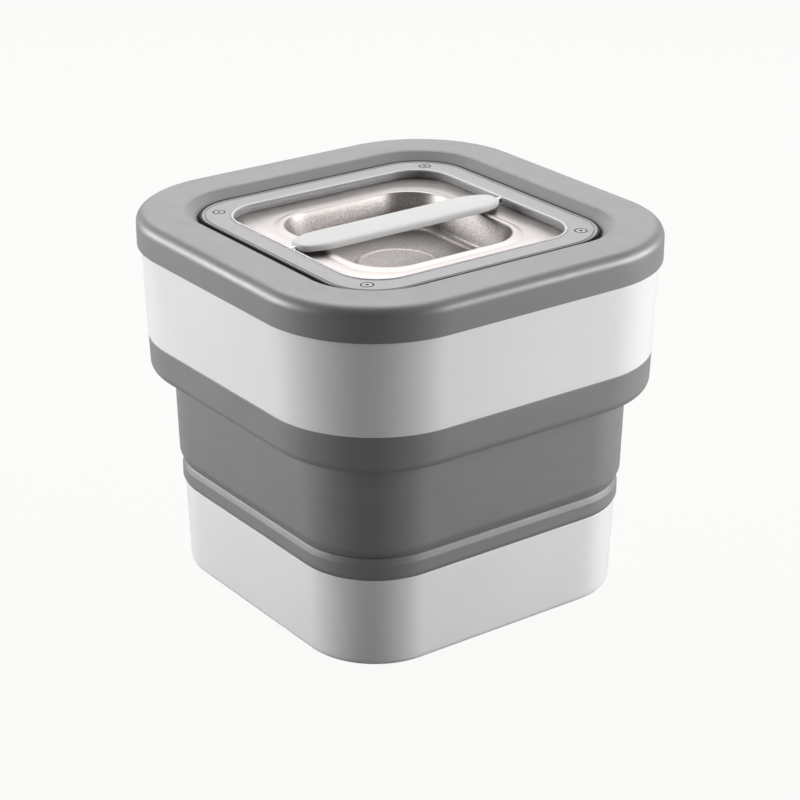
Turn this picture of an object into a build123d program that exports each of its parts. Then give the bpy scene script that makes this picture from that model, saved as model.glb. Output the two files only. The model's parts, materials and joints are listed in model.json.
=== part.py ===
from build123d import *
import os
from math import acos, cos, pi, radians, sin, tan

# Collapsible portable mini washer: a square tub with a folding elastomer wall.
#
# Frame: millimetres, +Z up, origin on the floor under the middle of the tub.
# All rings of the tub share the same corner centres, so each one is a wall profile
# (half width, height) carried round a rounded square.

os.makedirs("parts", exist_ok=True)

# ---- driving dimensions of the tub -------------------------------------------------
CORNER = 66.0  # corner arcs of every tub ring are centred at (+-CORNER, +-CORNER)
RIM_HALF = 145.0  # widest half width, at the collar
TOP_Z = 255.6  # flat top of the collar
COLLAR_Z = 233.4  # lower edge of the collar
BAND_TOP_HALF = 142.3  # white upper band, at the collar
BAND_BOTTOM_HALF = 140.0  # white upper band, at the shoulder
BAND_Z = 171.0  # lower edge of the white upper band
SHOULDER_Z = 145.0  # underside of the grey shoulder
WALL_TOP_HALF = 124.2  # folding wall under the shoulder
WALL_FOOT_HALF = 122.2  # folding wall above the lower ring
WALL_TOP_Z = 152.0  # top edge of the folding wall, behind the shoulder
RING_TOP_Z = 79.5  # top of the grey lower ring
RING_HALF = 120.7  # bulge of the grey lower ring
BASE_TOP_Z = 64.0  # top of the white base
BASE_TOP_HALF = 119.2
BASE_FOOT_HALF = 117.6  # base above its bottom rounding
BASE_ROUND = 5.0  # bottom rounding of the base
BASE_Z = 1.5  # underside of the base, lifted by the feet
SHEET = 2.6  # moulded wall thickness

# ---- driving dimensions of the drive ----------------------------------------------
GEAR_MODULE = 1.0
GEAR_TEETH = 60
PINION_TEETH = 15
CENTRES = GEAR_MODULE * (GEAR_TEETH + PINION_TEETH) / 2 + 0.1  # with a little backlash
PRESSURE_ANGLE = radians(20)
GEAR_Z = 31.0
GEAR_WIDTH = 5.0
SHAFT_R = 4.0
MOTOR_SHAFT_R = 1.6
RUNNING = 0.05  # radial running clearance
FLOOR_Z = 44.5  # top of the tub floor
PULSATOR_R = 84.0

# ---- driving dimensions of the lid ------------------------------------------------
LID_HALF = 103.5
LID_TOP_Z = 250.6
LID_PLATE = 2.9  # thickness of the clear ring
WELL_HALF = 84.5  # opening in the clear ring
WELL_R = 27.0
LINER_Z = 245.0  # top of the liner's flat flange
LINER_SHEET = 1.0
POCKET_HALF = 62.0  # rolled rim of the finger pocket
POCKET_CORNER = 32.0  # centres of the pocket's corner arcs
POCKET_FLOOR_Z = 222.0
RIM_Z = 246.8  # rolled rim of the pocket, before its round
SCREW_SPOT = 84.0  # lid screws at (+-SCREW_SPOT, +-SCREW_SPOT)
HANDLE_LENGTH = 161.0
HANDLE_WIDTH = 27.0
SEAT_HALF = 97.5  # opening in the collar under the lid
SEAT_Z = 242.2  # ledge that carries the lid

# ---- driving dimensions of the fittings in the base -------------------------------
COVER_HALF = 103.6
COVER_Z = 4.0  # top of the bottom cover, against the base's flange
FOOT_SPOT = 66.0
FOOT_R = 9.0
POST_SPOT = 80.0  # screw posts under the tub floor
POST_R = 4.2
BUTTON_Z = 26.0
BUTTON_R = 7.4
BUTTON_FACE = 118.6  # the button's surround sits on a flat here, on the +Y side
DRAIN_Z = 24.0
DRAIN_FACE = 118.2  # outer face of the drain cup, on the -X side
SPIGOT_R = 8.0
SPIGOT_BORE = 5.2
INLET_SEAT = 117.5  # flat behind the inlet's flange
INLET_Y = 48.0
INLET_Z = 26.0


# ---- shared outlines ----------------------------------------------------------------
def tub_path(half, corner=CORNER):
    """Rounded square of the given half width, started in the middle of its +X side."""
    radius = half - corner
    with BuildLine() as path:
        FilletPolyline(
            (half, 0),
            (half, half),
            (-half, half),
            (-half, -half),
            (half, -half),
            radius=[0, radius, radius, radius, radius],
            close=True,
        )
    return path.wire()


def wall_face(*points, rounds=None):
    """Closed wall section from (half width, height) points, with a round for each point."""
    with BuildSketch(Plane.XZ) as section:
        with BuildLine():
            FilletPolyline(*points, radius=rounds or [0] * len(points), close=True)
        make_face()
    return section.sketch


def square_spots(spot):
    """Four points at the corners of a square about the Z axis."""
    return [(spot, spot), (-spot, spot), (-spot, -spot), (spot, -spot)]


def gear_outline(teeth, centre_x=0.0, slack=0.12):
    """Involute tooth outline, thinned by the slack on each flank, with a tooth on +X."""
    pitch_r = GEAR_MODULE * teeth / 2
    base_r = pitch_r * cos(PRESSURE_ANGLE)
    root_r = pitch_r - 1.25 * GEAR_MODULE
    tip_r = pitch_r + GEAR_MODULE
    points = []
    for tooth in range(teeth):
        middle = 2 * pi * tooth / teeth
        flank = []
        for radius in (max(root_r, base_r), pitch_r, tip_r):
            rolled = acos(min(1.0, base_r / radius))
            opening = tan(PRESSURE_ANGLE) - PRESSURE_ANGLE - tan(rolled) + rolled
            flank.append((radius, pi / (2 * teeth) - slack / pitch_r + opening))
        half_root = (root_r, flank[0][1] + 0.1 / root_r)
        rising = [half_root, *flank]
        points += [(r * cos(middle - a), r * sin(middle - a)) for r, a in rising]
        points += [(r * cos(middle + a), r * sin(middle + a)) for r, a in reversed(rising)]
    return [(x + centre_x, y) for x, y in points]


# ---- base: shell, cover, feet -------------------------------------------------------
with BuildPart() as base_shell:
    flange_half = 97.0
    sweep(
        wall_face(
            (flange_half, COVER_Z),
            (COVER_HALF + 0.4, COVER_Z),
            (COVER_HALF + 0.4, BASE_Z),
            (BASE_FOOT_HALF - 0.8, BASE_Z),
            (BASE_TOP_HALF, BASE_TOP_Z),
            (BASE_TOP_HALF - SHEET, BASE_TOP_Z),
            (BASE_FOOT_HALF - SHEET - 0.8, COVER_Z + 2.4),
            (flange_half, COVER_Z + 2.4),
            rounds=[0, 0, 0, BASE_ROUND, 0, 0, BASE_ROUND - SHEET, 0],
        ),
        path=tub_path(flange_half),
    )
    with BuildSketch(Plane.XZ.offset(-BUTTON_FACE - 2)):
        with Locations((0, BUTTON_Z)):
            Circle(BUTTON_R + 3.0)
    extrude(amount=12, mode=Mode.SUBTRACT)
    with BuildSketch(Plane.XZ.offset(-BUTTON_FACE - 2)):
        with Locations((0, BUTTON_Z)):
            Circle(BUTTON_R + 5.1)
    extrude(amount=2.8, mode=Mode.SUBTRACT)
    with BuildSketch(Plane.YZ.offset(-DRAIN_FACE - 3)):
        with Locations((0, DRAIN_Z)):
            Circle(15.1)
        with Locations((INLET_Y, INLET_Z)):
            Circle(5.6)
    extrude(amount=12, mode=Mode.SUBTRACT)
    with BuildSketch(Plane.YZ.offset(-DRAIN_FACE - 3)):
        with Locations((INLET_Y, INLET_Z)):
            Circle(7.3)
    extrude(amount=3 + DRAIN_FACE - INLET_SEAT, mode=Mode.SUBTRACT)
base_shell.part.label = "base_shell"

with BuildPart() as bottom_cover:
    with BuildSketch(Plane.XY.offset(BASE_Z + 0.1)):
        RectangleRounded(2 * COVER_HALF, 2 * COVER_HALF, COVER_HALF - CORNER)
    extrude(amount=COVER_Z - BASE_Z - 0.1)
    with BuildSketch(Plane.XY.offset(BASE_Z + 0.1)):
        with Locations(*square_spots(FOOT_SPOT)):
            Circle(FOOT_R + 0.2)
        with Locations(*square_spots(POST_SPOT)):
            Circle(3.6)
    extrude(amount=1.2, mode=Mode.SUBTRACT)
    with BuildSketch(Plane.XY.offset(BASE_Z + 0.1)):
        with Locations(*square_spots(POST_SPOT)):
            Circle(1.5)
        with GridLocations(0, 7, 1, 7):
            SlotOverall(44, 3)
    extrude(amount=COVER_Z, mode=Mode.SUBTRACT)
bottom_cover.part.label = "bottom_cover"

with BuildPart() as feet:
    with BuildSketch():
        with Locations(*square_spots(FOOT_SPOT)):
            Circle(FOOT_R)
    extrude(amount=BASE_Z + 1.3)
    chamfer(feet.faces().sort_by(Axis.Z)[:4].edges(), 0.6)
feet.part.label = "feet"

with BuildPart() as cover_screws:
    with BuildSketch(Plane.XY.offset(BASE_Z + 0.1)):
        with Locations(*square_spots(POST_SPOT)):
            Circle(3.2)
    extrude(amount=1.2)
    with BuildSketch(Plane.XY.offset(BASE_Z + 1.3)):
        with Locations(*square_spots(POST_SPOT)):
            Circle(1.5)
    extrude(amount=13)
    with BuildSketch(Plane.XY.offset(BASE_Z + 0.1)):
        with Locations(*square_spots(POST_SPOT)):
            Rectangle(3.6, 0.8)
            Rectangle(0.8, 3.6)
    extrude(amount=0.7, mode=Mode.SUBTRACT)
cover_screws.part.label = "cover_screws"

# ---- tub floor: water side above, motor room below ---------------------------------
BRACKET_Z = 27.0  # underside of the motor bracket
BRACKET_SHEET = 2.0
BRACKET_POSTS = [(-28, 28), (-28, -28), (58, 22), (58, -22)]
FLOOR_SHEET = 2.5
UPSTAND_Z = BASE_TOP_Z + 1.5  # lip of the floor's upstand, inside the lower ring
BEARING_R = 8.0
SUMP_X = -92.0  # drain hole in the tub floor

with BuildPart() as tub_floor:
    floor_half = 113.0
    with BuildSketch(Plane.XY.offset(FLOOR_Z - FLOOR_SHEET)):
        RectangleRounded(2 * floor_half, 2 * floor_half, floor_half - CORNER)
    extrude(amount=FLOOR_SHEET)
    sweep(
        wall_face(
            (floor_half - 6, FLOOR_Z - FLOOR_SHEET),
            (114.4, FLOOR_Z - FLOOR_SHEET),
            (116.3, UPSTAND_Z),
            (114.1, UPSTAND_Z),
            (112.3, FLOOR_Z),
            (floor_half - 6, FLOOR_Z),
            rounds=[0, 3, 0, 0, 4, 0],
        ),
        path=tub_path(floor_half - 6),
    )
    with BuildSketch(Plane.XY.offset(37)):
        Circle(BEARING_R + 4)
    extrude(amount=13)
    with BuildSketch(Plane.XY.offset(COVER_Z)):
        with Locations(*square_spots(POST_SPOT)):
            Circle(POST_R)
    extrude(amount=FLOOR_Z - FLOOR_SHEET - COVER_Z)
    with BuildSketch(Plane.XY.offset(BRACKET_Z + BRACKET_SHEET)):
        with Locations(*BRACKET_POSTS):
            Circle(3.6)
    extrude(amount=FLOOR_Z - FLOOR_SHEET - BRACKET_Z - BRACKET_SHEET)
    with BuildSketch(Plane.XY.offset(37)):
        Circle(BEARING_R)
    extrude(amount=14, mode=Mode.SUBTRACT)
    with BuildSketch(Plane.XY.offset(FLOOR_Z - FLOOR_SHEET - 1)):
        with Locations((SUMP_X, 0)):
            Circle(SPIGOT_R)
    extrude(amount=FLOOR_SHEET + 2, mode=Mode.SUBTRACT)
    with BuildSketch(Plane.XY.offset(COVER_Z - 1)):
        with Locations(*square_spots(POST_SPOT)):
            Circle(1.5)
    extrude(amount=12.8, mode=Mode.SUBTRACT)
    with BuildSketch(Plane.XY.offset(BRACKET_Z)):
        with Locations(*BRACKET_POSTS):
            Circle(1.2)
    extrude(amount=12, mode=Mode.SUBTRACT)
tub_floor.part.label = "tub_floor"

with BuildPart() as lower_ring:
    ring_inner = 116.4
    sweep(
        wall_face(
            (ring_inner, BASE_TOP_Z),
            (RING_HALF - 1.6, BASE_TOP_Z),
            (RING_HALF, 66.9),
            (RING_HALF, 75.0),
            (RING_HALF - 1.4, RING_TOP_Z),
            (ring_inner, RING_TOP_Z),
            rounds=[0, 0, 3, 3, 2.2, 0],
        ),
        path=tub_path(ring_inner),
    )
lower_ring.part.label = "lower_ring"

with BuildPart() as folding_wall:
    sheet = 2.2
    sweep(
        wall_face(
            (117.0, RING_TOP_Z),
            (118.6, RING_TOP_Z),
            (WALL_FOOT_HALF, 85.5),
            (WALL_TOP_HALF - 0.1, WALL_TOP_Z),
            (WALL_TOP_HALF - 0.1 - sheet, WALL_TOP_Z),
            (WALL_FOOT_HALF - sheet, 85.5),
            rounds=[0, 1, 8, 0, 0, 6],
        ),
        path=tub_path(117.0),
    )
folding_wall.part.label = "folding_wall"

# ---- drive: motor, gears, pulsator --------------------------------------------------
with BuildPart() as motor_bracket:
    with BuildSketch(Plane.XY.offset(BRACKET_Z)):
        with Locations((15, 0)):
            RectangleRounded(96, 66, 6)
        Circle(6.5, mode=Mode.SUBTRACT)
        with Locations((CENTRES, 0)):
            Circle(4, mode=Mode.SUBTRACT)
        with Locations(*BRACKET_POSTS, (CENTRES, 12), (CENTRES, -12)):
            Circle(1.3, mode=Mode.SUBTRACT)
        with Locations((-18, 0)):
            SlotOverall(30, 5, rotation=90, mode=Mode.SUBTRACT)
    extrude(amount=BRACKET_SHEET)
    with BuildSketch(Plane.XY.offset(BRACKET_Z - 3)):
        with Locations((15, 31.9), (15, -31.9)):
            Rectangle(70, 2.2)
    extrude(amount=3)
motor_bracket.part.label = "motor_bracket"

with BuildPart() as bracket_screws:
    with BuildSketch(Plane.XY.offset(BRACKET_Z - 1.6)):
        with Locations(*BRACKET_POSTS):
            Circle(2.6)
    extrude(amount=1.6)
    with BuildSketch(Plane.XY.offset(BRACKET_Z)):
        with Locations(*BRACKET_POSTS):
            Circle(1.2)
    extrude(amount=11)
bracket_screws.part.label = "bracket_screws"

with BuildPart() as motor_can:
    with BuildSketch(Plane.XY.offset(7.5)):
        with Locations((CENTRES, 0)):
            Circle(17.5)
    extrude(amount=BRACKET_Z - 7.5)
    fillet(motor_can.edges().filter_by(GeomType.CIRCLE).sort_by(Axis.Z)[0], 2.5)
    with BuildSketch(Plane.XY.offset(6.0)):
        with Locations((CENTRES, 0)):
            Circle(5)
    extrude(amount=2)
    with BuildSketch(Plane.XY.offset(6.0)):
        with Locations((CENTRES, 0)):
            Circle(MOTOR_SHAFT_R + RUNNING)
    extrude(amount=BRACKET_Z, mode=Mode.SUBTRACT)
    with BuildSketch(Plane.XY.offset(BRACKET_Z - 6)):
        with Locations((CENTRES, 12), (CENTRES, -12)):
            Circle(1.2)
    extrude(amount=6, mode=Mode.SUBTRACT)
motor_can.part.label = "motor_can"

with BuildPart() as motor_shaft:
    with BuildSketch(Plane.XY.offset(6.6)):
        with Locations((CENTRES, 0)):
            Circle(MOTOR_SHAFT_R)
    extrude(amount=GEAR_Z + GEAR_WIDTH + 1 - 6.6)
motor_shaft.part.label = "motor_shaft"

with BuildPart() as pinion:
    with BuildSketch(Plane.XY.offset(GEAR_Z - 0.6)):
        with BuildLine():
            Polyline(*gear_outline(PINION_TEETH, CENTRES), close=True)
        make_face()
        with Locations((CENTRES, 0)):
            Circle(MOTOR_SHAFT_R, mode=Mode.SUBTRACT)
    extrude(amount=GEAR_WIDTH + 1.2)
pinion.part.label = "pinion"

with BuildPart() as drive_gear:
    with BuildSketch(Plane.XY.offset(GEAR_Z)):
        with BuildLine():
            Polyline(*gear_outline(GEAR_TEETH), close=True)
        make_face()
        with PolarLocations(17, 6):
            Circle(6, mode=Mode.SUBTRACT)
    extrude(amount=GEAR_WIDTH)
    with BuildSketch(Plane.XY.offset(GEAR_Z - 0.3)):
        Circle(8)
    extrude(amount=GEAR_WIDTH + 0.6)
    with BuildSketch(Plane.XY.offset(GEAR_Z - 1)):
        Circle(SHAFT_R)
    extrude(amount=GEAR_WIDTH + 2, mode=Mode.SUBTRACT)
drive_gear.part.label = "drive_gear"

PULSATOR_Z = 52.0  # underside of the pulsator's hub
HUB_TOP = 61.0
with BuildPart() as drive_shaft:
    with BuildSketch(Plane.XY.offset(22)):
        Circle(SHAFT_R)
    extrude(amount=HUB_TOP - 3 - 22)
    chamfer(drive_shaft.edges().sort_by(Axis.Z)[0], 0.6)
drive_shaft.part.label = "drive_shaft"

with BuildPart() as lower_bush:
    with BuildSketch(Plane.XY.offset(BRACKET_Z - 2)):
        Circle(6.5)
    extrude(amount=BRACKET_SHEET + 3)
    with BuildSketch(Plane.XY.offset(BRACKET_Z - 2)):
        Circle(9)
    extrude(amount=2)
    with BuildSketch(Plane.XY.offset(BRACKET_Z - 3)):
        Circle(SHAFT_R + RUNNING)
    extrude(amount=BRACKET_SHEET + 6, mode=Mode.SUBTRACT)
lower_bush.part.label = "lower_bush"

with BuildPart() as upper_bush:
    with BuildSketch(Plane.XY.offset(38)):
        Circle(BEARING_R)
        Circle(SHAFT_R + RUNNING, mode=Mode.SUBTRACT)
    extrude(amount=8)
upper_bush.part.label = "upper_bush"

with BuildPart() as shaft_seal:
    with BuildSketch(Plane.XZ):
        with BuildLine():
            Polyline(
                (SHAFT_R + RUNNING, 46.0),
                (BEARING_R, 46.0),
                (BEARING_R, 50.0),
                (6.4, 50.0),
                (SHAFT_R + 1.2, 48.2),
                (SHAFT_R + RUNNING, 51.0),
                close=True,
            )
        make_face()
    revolve(axis=Axis.Z)
shaft_seal.part.label = "shaft_seal"

VANES = 5
with BuildSketch() as vane_outline:
    with BuildLine():
        trailing = ThreePointArc((17.0, -12.0), (44.0, -1.0), (75.0, -3.0))
        tip_round = ThreePointArc(trailing @ 1, (78.2, 0.6), (76.0, 4.0))
        leading = ThreePointArc(tip_round @ 1, (44.0, 9.0), (14.0, -5.0))
        Line(leading @ 1, trailing @ 0)
    make_face()
vane = vane_outline.sketch

with BuildPart() as pulsator:
    with BuildSketch(Plane.XZ):
        with BuildLine():
            Polyline((SHAFT_R, PULSATOR_Z), (9.5, PULSATOR_Z))
            Polyline((9.5, PULSATOR_Z), (9.5, 55.0), (13.0, 55.0))
            Spline((13.0, 55.0), (45.0, 52.0), (PULSATOR_R - 6, 48.5))
            Polyline((PULSATOR_R - 6, 48.5), (PULSATOR_R, 46.3), (PULSATOR_R, 48.3))
            Spline((PULSATOR_R, 48.3), (70.0, 52.5), (45.0, 55.0), (16.0, 58.5))
            Polyline((16.0, 58.5), (12.0, HUB_TOP), (9.0, HUB_TOP), (9.0, HUB_TOP - 3))
            Polyline((9.0, HUB_TOP - 3), (SHAFT_R, HUB_TOP - 3), (SHAFT_R, PULSATOR_Z))
        make_face()
    revolve(axis=Axis.Z)
    with BuildSketch(Plane.XY.offset(49.0)):
        with PolarLocations(0, VANES):
            add(vane)
    extrude(amount=14, taper=10)
    with BuildSketch(Plane.XZ) as above_vanes:
        with BuildLine():
            Polyline((15, HUB_TOP + 1), (82, 54), (92, 54), (92, 70), (15, 70), close=True)
        make_face()
    revolve(axis=Axis.Z, mode=Mode.SUBTRACT)
    with BuildSketch(Plane.XZ) as under_dome:
        with BuildLine():
            Polyline((9.5, 44), (9.5, 55.0), (13.0, 55.0))
            Spline((13.0, 55.0), (45.0, 52.0), (PULSATOR_R - 6, 48.5))
            Polyline((PULSATOR_R - 6, 48.5), (PULSATOR_R - 6, 44), (9.5, 44))
        make_face()
    revolve(axis=Axis.Z, mode=Mode.SUBTRACT)
    with BuildSketch(Plane.XY.offset(44)):
        with PolarLocations(50, VANES, start_angle=36):
            with GridLocations(9, 9, 2, 2):
                Circle(1.8)
    extrude(amount=14, mode=Mode.SUBTRACT)
pulsator.part.label = "pulsator"

with BuildPart() as pulsator_cap:
    with BuildSketch(Plane.XZ):
        with BuildLine():
            Polyline((0, HUB_TOP + 3.4), (0, HUB_TOP - 3), (8.8, HUB_TOP - 3), (8.8, HUB_TOP))
            ThreePointArc((8.8, HUB_TOP), (5.2, HUB_TOP + 2.5), (0, HUB_TOP + 3.4))
        make_face()
    revolve(axis=Axis.Z)
    with BuildSketch(Plane.XY.offset(HUB_TOP + 5)):
        Rectangle(11, 1.4)
    extrude(amount=-3.6, mode=Mode.SUBTRACT)
pulsator_cap.part.label = "pulsator_cap"

# ---- fittings in the base: button, light ring, board, inlet, drain ------------------
BEZEL_BACK = 110.6
with BuildPart() as button_bezel:
    with BuildSketch(Plane.XZ.offset(-BUTTON_FACE - 0.8)):
        with Locations((0, BUTTON_Z)):
            Circle(BUTTON_R + 5)
            Circle(BUTTON_R + 2.0, mode=Mode.SUBTRACT)
    extrude(amount=1.6)
    with BuildSketch(Plane.XZ.offset(-BUTTON_FACE - 0.8)):
        with Locations((0, BUTTON_Z)):
            Circle(BUTTON_R + 2.9)
            Circle(BUTTON_R + 2.0, mode=Mode.SUBTRACT)
    extrude(amount=BUTTON_FACE + 0.8 - BEZEL_BACK)
    with BuildSketch(Plane.XZ.offset(-BEZEL_BACK - 2)):
        with Locations((0, BUTTON_Z)):
            Circle(BUTTON_R + 2.0)
            Circle(BUTTON_R - 2.0, mode=Mode.SUBTRACT)
    extrude(amount=2)
button_bezel.part.label = "button_bezel"

with BuildPart() as indicator_ring:
    with BuildSketch(Plane.XZ.offset(-BUTTON_FACE - 0.4)):
        with Locations((0, BUTTON_Z)):
            Circle(BUTTON_R + 1.95)
            Circle(BUTTON_R + 0.3, mode=Mode.SUBTRACT)
    extrude(amount=3.0)
indicator_ring.part.label = "indicator_ring"

with BuildPart() as start_button:
    with BuildSketch(Plane.XZ.offset(-BUTTON_FACE - 1.4)):
        with Locations((0, BUTTON_Z)):
            Circle(BUTTON_R)
    extrude(amount=4.4)
    fillet(start_button.edges().filter_by(GeomType.CIRCLE).sort_by(Axis.Y)[-1], 1.0)
    with BuildSketch(Plane.XZ.offset(-BUTTON_FACE + 3.0)):
        with Locations((0, BUTTON_Z)):
            Circle(2.6)
    extrude(amount=9.0)
start_button.part.label = "start_button"

BOARD_Y = 101.6
with BuildPart() as control_board:
    with BuildSketch(Plane.XZ.offset(-BOARD_Y)):
        with Locations((0, 24)):
            Rectangle(72, 27)
            with GridLocations(64, 19, 2, 2):
                Circle(1.5, mode=Mode.SUBTRACT)
    extrude(amount=1.6)
    with BuildSketch(Plane.XZ.offset(-BOARD_Y)):
        with Locations((0, BUTTON_Z)):
            Rectangle(6.5, 6.5)
    extrude(amount=-3.5)
    with BuildSketch(Plane.XZ.offset(-BOARD_Y)):
        with Locations((22, 18)):
            Circle(4)
        with Locations((-22, 22)):
            Rectangle(10, 12)
    extrude(amount=-6)
    with BuildSketch(Plane.XZ.offset(-BOARD_Y + 1.6)):
        with Locations((20, 27)):
            Rectangle(14, 7)
        with Locations((-16, 24)):
            Rectangle(9, 9)
    extrude(amount=3)
control_board.part.label = "control_board"

with BuildPart() as power_inlet:
    with BuildSketch(Plane.YZ.offset(-INLET_SEAT - 1.2)):
        with Locations((INLET_Y, INLET_Z)):
            Circle(7.2)
    extrude(amount=1.2)
    with BuildSketch(Plane.YZ.offset(-INLET_SEAT)):
        with Locations((INLET_Y, INLET_Z)):
            Circle(5.4)
    extrude(amount=14)
    with BuildSketch(Plane.YZ.offset(-INLET_SEAT - 1.2)):
        with Locations((INLET_Y, INLET_Z)):
            Circle(2.9)
            Circle(1.0, mode=Mode.SUBTRACT)
    extrude(amount=10, mode=Mode.SUBTRACT)
    with BuildSketch(Plane.YZ.offset(-INLET_SEAT - 1.2)):
        with Locations((INLET_Y, INLET_Z)):
            Circle(1.0)
    extrude(amount=1.5, mode=Mode.SUBTRACT)
power_inlet.part.label = "power_inlet"

CUP_R = 15.0
CUP_DEPTH = 17.0
with BuildPart() as drain_fitting:
    with BuildSketch(Plane.YZ.offset(-DRAIN_FACE)):
        with Locations((0, DRAIN_Z)):
            Circle(CUP_R)
    extrude(amount=CUP_DEPTH + 2)
    with BuildSketch(Plane.YZ.offset(-DRAIN_FACE)):
        with Locations((0, DRAIN_Z)):
            Circle(CUP_R - 1.6)
    extrude(amount=CUP_DEPTH, mode=Mode.SUBTRACT)
    with BuildSketch(Plane.YZ.offset(-DRAIN_FACE + 0.6)):
        with Locations((0, DRAIN_Z)):
            Circle(SPIGOT_R)
    extrude(amount=DRAIN_FACE - 0.6 + SUMP_X)
    with BuildSketch(Plane.XY.offset(DRAIN_Z)):
        with Locations((SUMP_X, 0)):
            Circle(SPIGOT_R)
    extrude(amount=FLOOR_Z - DRAIN_Z)
    with BuildSketch(Plane.XY.offset(DRAIN_Z)):
        with Locations((SUMP_X, 0)):
            Circle(SPIGOT_R)
    extrude(amount=-SPIGOT_R)
    with BuildSketch(Plane.YZ.offset(-DRAIN_FACE)):
        with Locations((0, DRAIN_Z)):
            Circle(SPIGOT_BORE)
    extrude(amount=DRAIN_FACE + SUMP_X, mode=Mode.SUBTRACT)
    with BuildSketch(Plane.XY.offset(DRAIN_Z - SPIGOT_BORE)):
        with Locations((SUMP_X, 0)):
            Circle(SPIGOT_BORE)
    extrude(amount=30, mode=Mode.SUBTRACT)
drain_fitting.part.label = "drain_fitting"

with BuildPart() as drain_gasket:
    with BuildSketch(Plane.XY.offset(FLOOR_Z - FLOOR_SHEET - 1.8)):
        with Locations((SUMP_X, 0)):
            Circle(SPIGOT_R + 3)
            Circle(SPIGOT_R, mode=Mode.SUBTRACT)
    extrude(amount=1.8)
drain_gasket.part.label = "drain_gasket"

with BuildPart() as drain_plug:
    with BuildSketch(Plane.YZ.offset(-DRAIN_FACE + 0.6)):
        with Locations((0, DRAIN_Z)):
            Circle(SPIGOT_BORE - RUNNING)
    extrude(amount=12)
    fillet(drain_plug.edges().filter_by(GeomType.CIRCLE).sort_by(Axis.X)[-1], 1.2)
    with BuildSketch(Plane.YZ.offset(-DRAIN_FACE + 0.5)):
        with Locations((0, DRAIN_Z)):
            Circle(SPIGOT_R - 0.4)
    extrude(amount=-1.6)
    with BuildSketch(Plane.XZ):
        with Locations((-DRAIN_FACE - 1.0, DRAIN_Z)):
            Rectangle(4.0, 8.0)
    extrude(amount=1.2, both=True)
drain_plug.part.label = "drain_plug"

# ---- upper body: white band, grey shoulder, collar ----------------------------------
with BuildPart() as upper_band:
    sweep(
        wall_face(
            (BAND_BOTTOM_HALF - SHEET, BAND_Z),
            (BAND_BOTTOM_HALF, BAND_Z),
            (BAND_TOP_HALF, COLLAR_Z - 0.4),
            (RIM_HALF - 3.3, COLLAR_Z - 0.4),
            (RIM_HALF - 3.3, 246.0),
            (RIM_HALF - 6.0, 246.0),
            (BAND_TOP_HALF - SHEET - 0.6, COLLAR_Z - 2),
        ),
        path=tub_path(BAND_BOTTOM_HALF - SHEET),
    )
upper_band.part.label = "upper_band"

with BuildPart() as shoulder:
    sweep(
        wall_face(
            (BAND_BOTTOM_HALF - SHEET, BAND_Z),
            (BAND_BOTTOM_HALF - SHEET - 0.9, 148.3),
            (WALL_TOP_HALF, SHOULDER_Z + SHEET),
            (WALL_TOP_HALF, SHOULDER_Z),
            (BAND_BOTTOM_HALF - 0.9, SHOULDER_Z + 0.7),
            (BAND_BOTTOM_HALF, BAND_Z),
            rounds=[0, 10.6, 0, 0, 13.2, 0],
        ),
        path=tub_path(WALL_TOP_HALF),
    )
shoulder.part.label = "shoulder"

with BuildPart() as band_clamp_ring:
    clamp_half = BAND_BOTTOM_HALF - SHEET - 0.3
    sweep(
        wall_face(
            (clamp_half - 2.4, 165.0),
            (clamp_half, 165.0),
            (clamp_half, 182.0),
            (clamp_half - 1.4, 182.0),
            (clamp_half - 2.4, 180.0),
        ),
        path=tub_path(clamp_half - 2.4),
    )
band_clamp_ring.part.label = "band_clamp_ring"

with BuildPart() as collar:
    sweep(
        wall_face(
            (RIM_HALF, COLLAR_Z),
            (RIM_HALF, TOP_Z),
            (113.8, TOP_Z),
            (LID_HALF + 1.3, 248.6),
            (LID_HALF + 0.7, SEAT_Z),
            (SEAT_HALF, SEAT_Z),
            (SEAT_HALF, SEAT_Z - 2.8),
            (107.0, SEAT_Z - 2.8),
            (107.4, 247.0),
            (116.4, TOP_Z - 3.2),
            (RIM_HALF - 3.0, TOP_Z - 3.2),
            (RIM_HALF - 3.0, COLLAR_Z),
            rounds=[0, 7.5, 6, 2, 0, 0.8, 0.8, 1, 2, 2, 5, 0],
        ),
        path=tub_path(SEAT_HALF),
    )
collar.part.label = "collar"

# ---- lid ----------------------------------------------------------------------------
with BuildPart() as lid_cover:
    cover_bottom = LID_TOP_Z - LID_PLATE
    with BuildSketch(Plane.XY.offset(cover_bottom)):
        RectangleRounded(2 * LID_HALF, 2 * LID_HALF, LID_HALF - CORNER)
    extrude(amount=LID_PLATE)
    fillet(lid_cover.faces().sort_by(Axis.Z)[-1].edges(), 1.2)
    with BuildSketch(Plane.XY.offset(LINER_Z + 0.2)):
        RectangleRounded(2 * WELL_HALF + 4, 2 * WELL_HALF + 4, WELL_R + 2)
    extrude(amount=cover_bottom - LINER_Z - 0.2)
    with BuildSketch(Plane.XY.offset(LINER_Z)):
        RectangleRounded(2 * WELL_HALF, 2 * WELL_HALF, WELL_R)
    extrude(amount=10, mode=Mode.SUBTRACT)
    fillet(lid_cover.faces().sort_by(Axis.Z)[-1].inner_wires()[0].edges(), 1.0)
    with BuildSketch(Plane.XY.offset(LID_TOP_Z)):
        with Locations(*square_spots(SCREW_SPOT)):
            Circle(4.4)
    extrude(amount=-0.9, mode=Mode.SUBTRACT)
    with BuildSketch(Plane.XY.offset(LID_TOP_Z)):
        with Locations(*square_spots(SCREW_SPOT)):
            Circle(1.6)
    extrude(amount=-LID_PLATE, mode=Mode.SUBTRACT)
lid_cover.part.label = "lid_cover"

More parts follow.
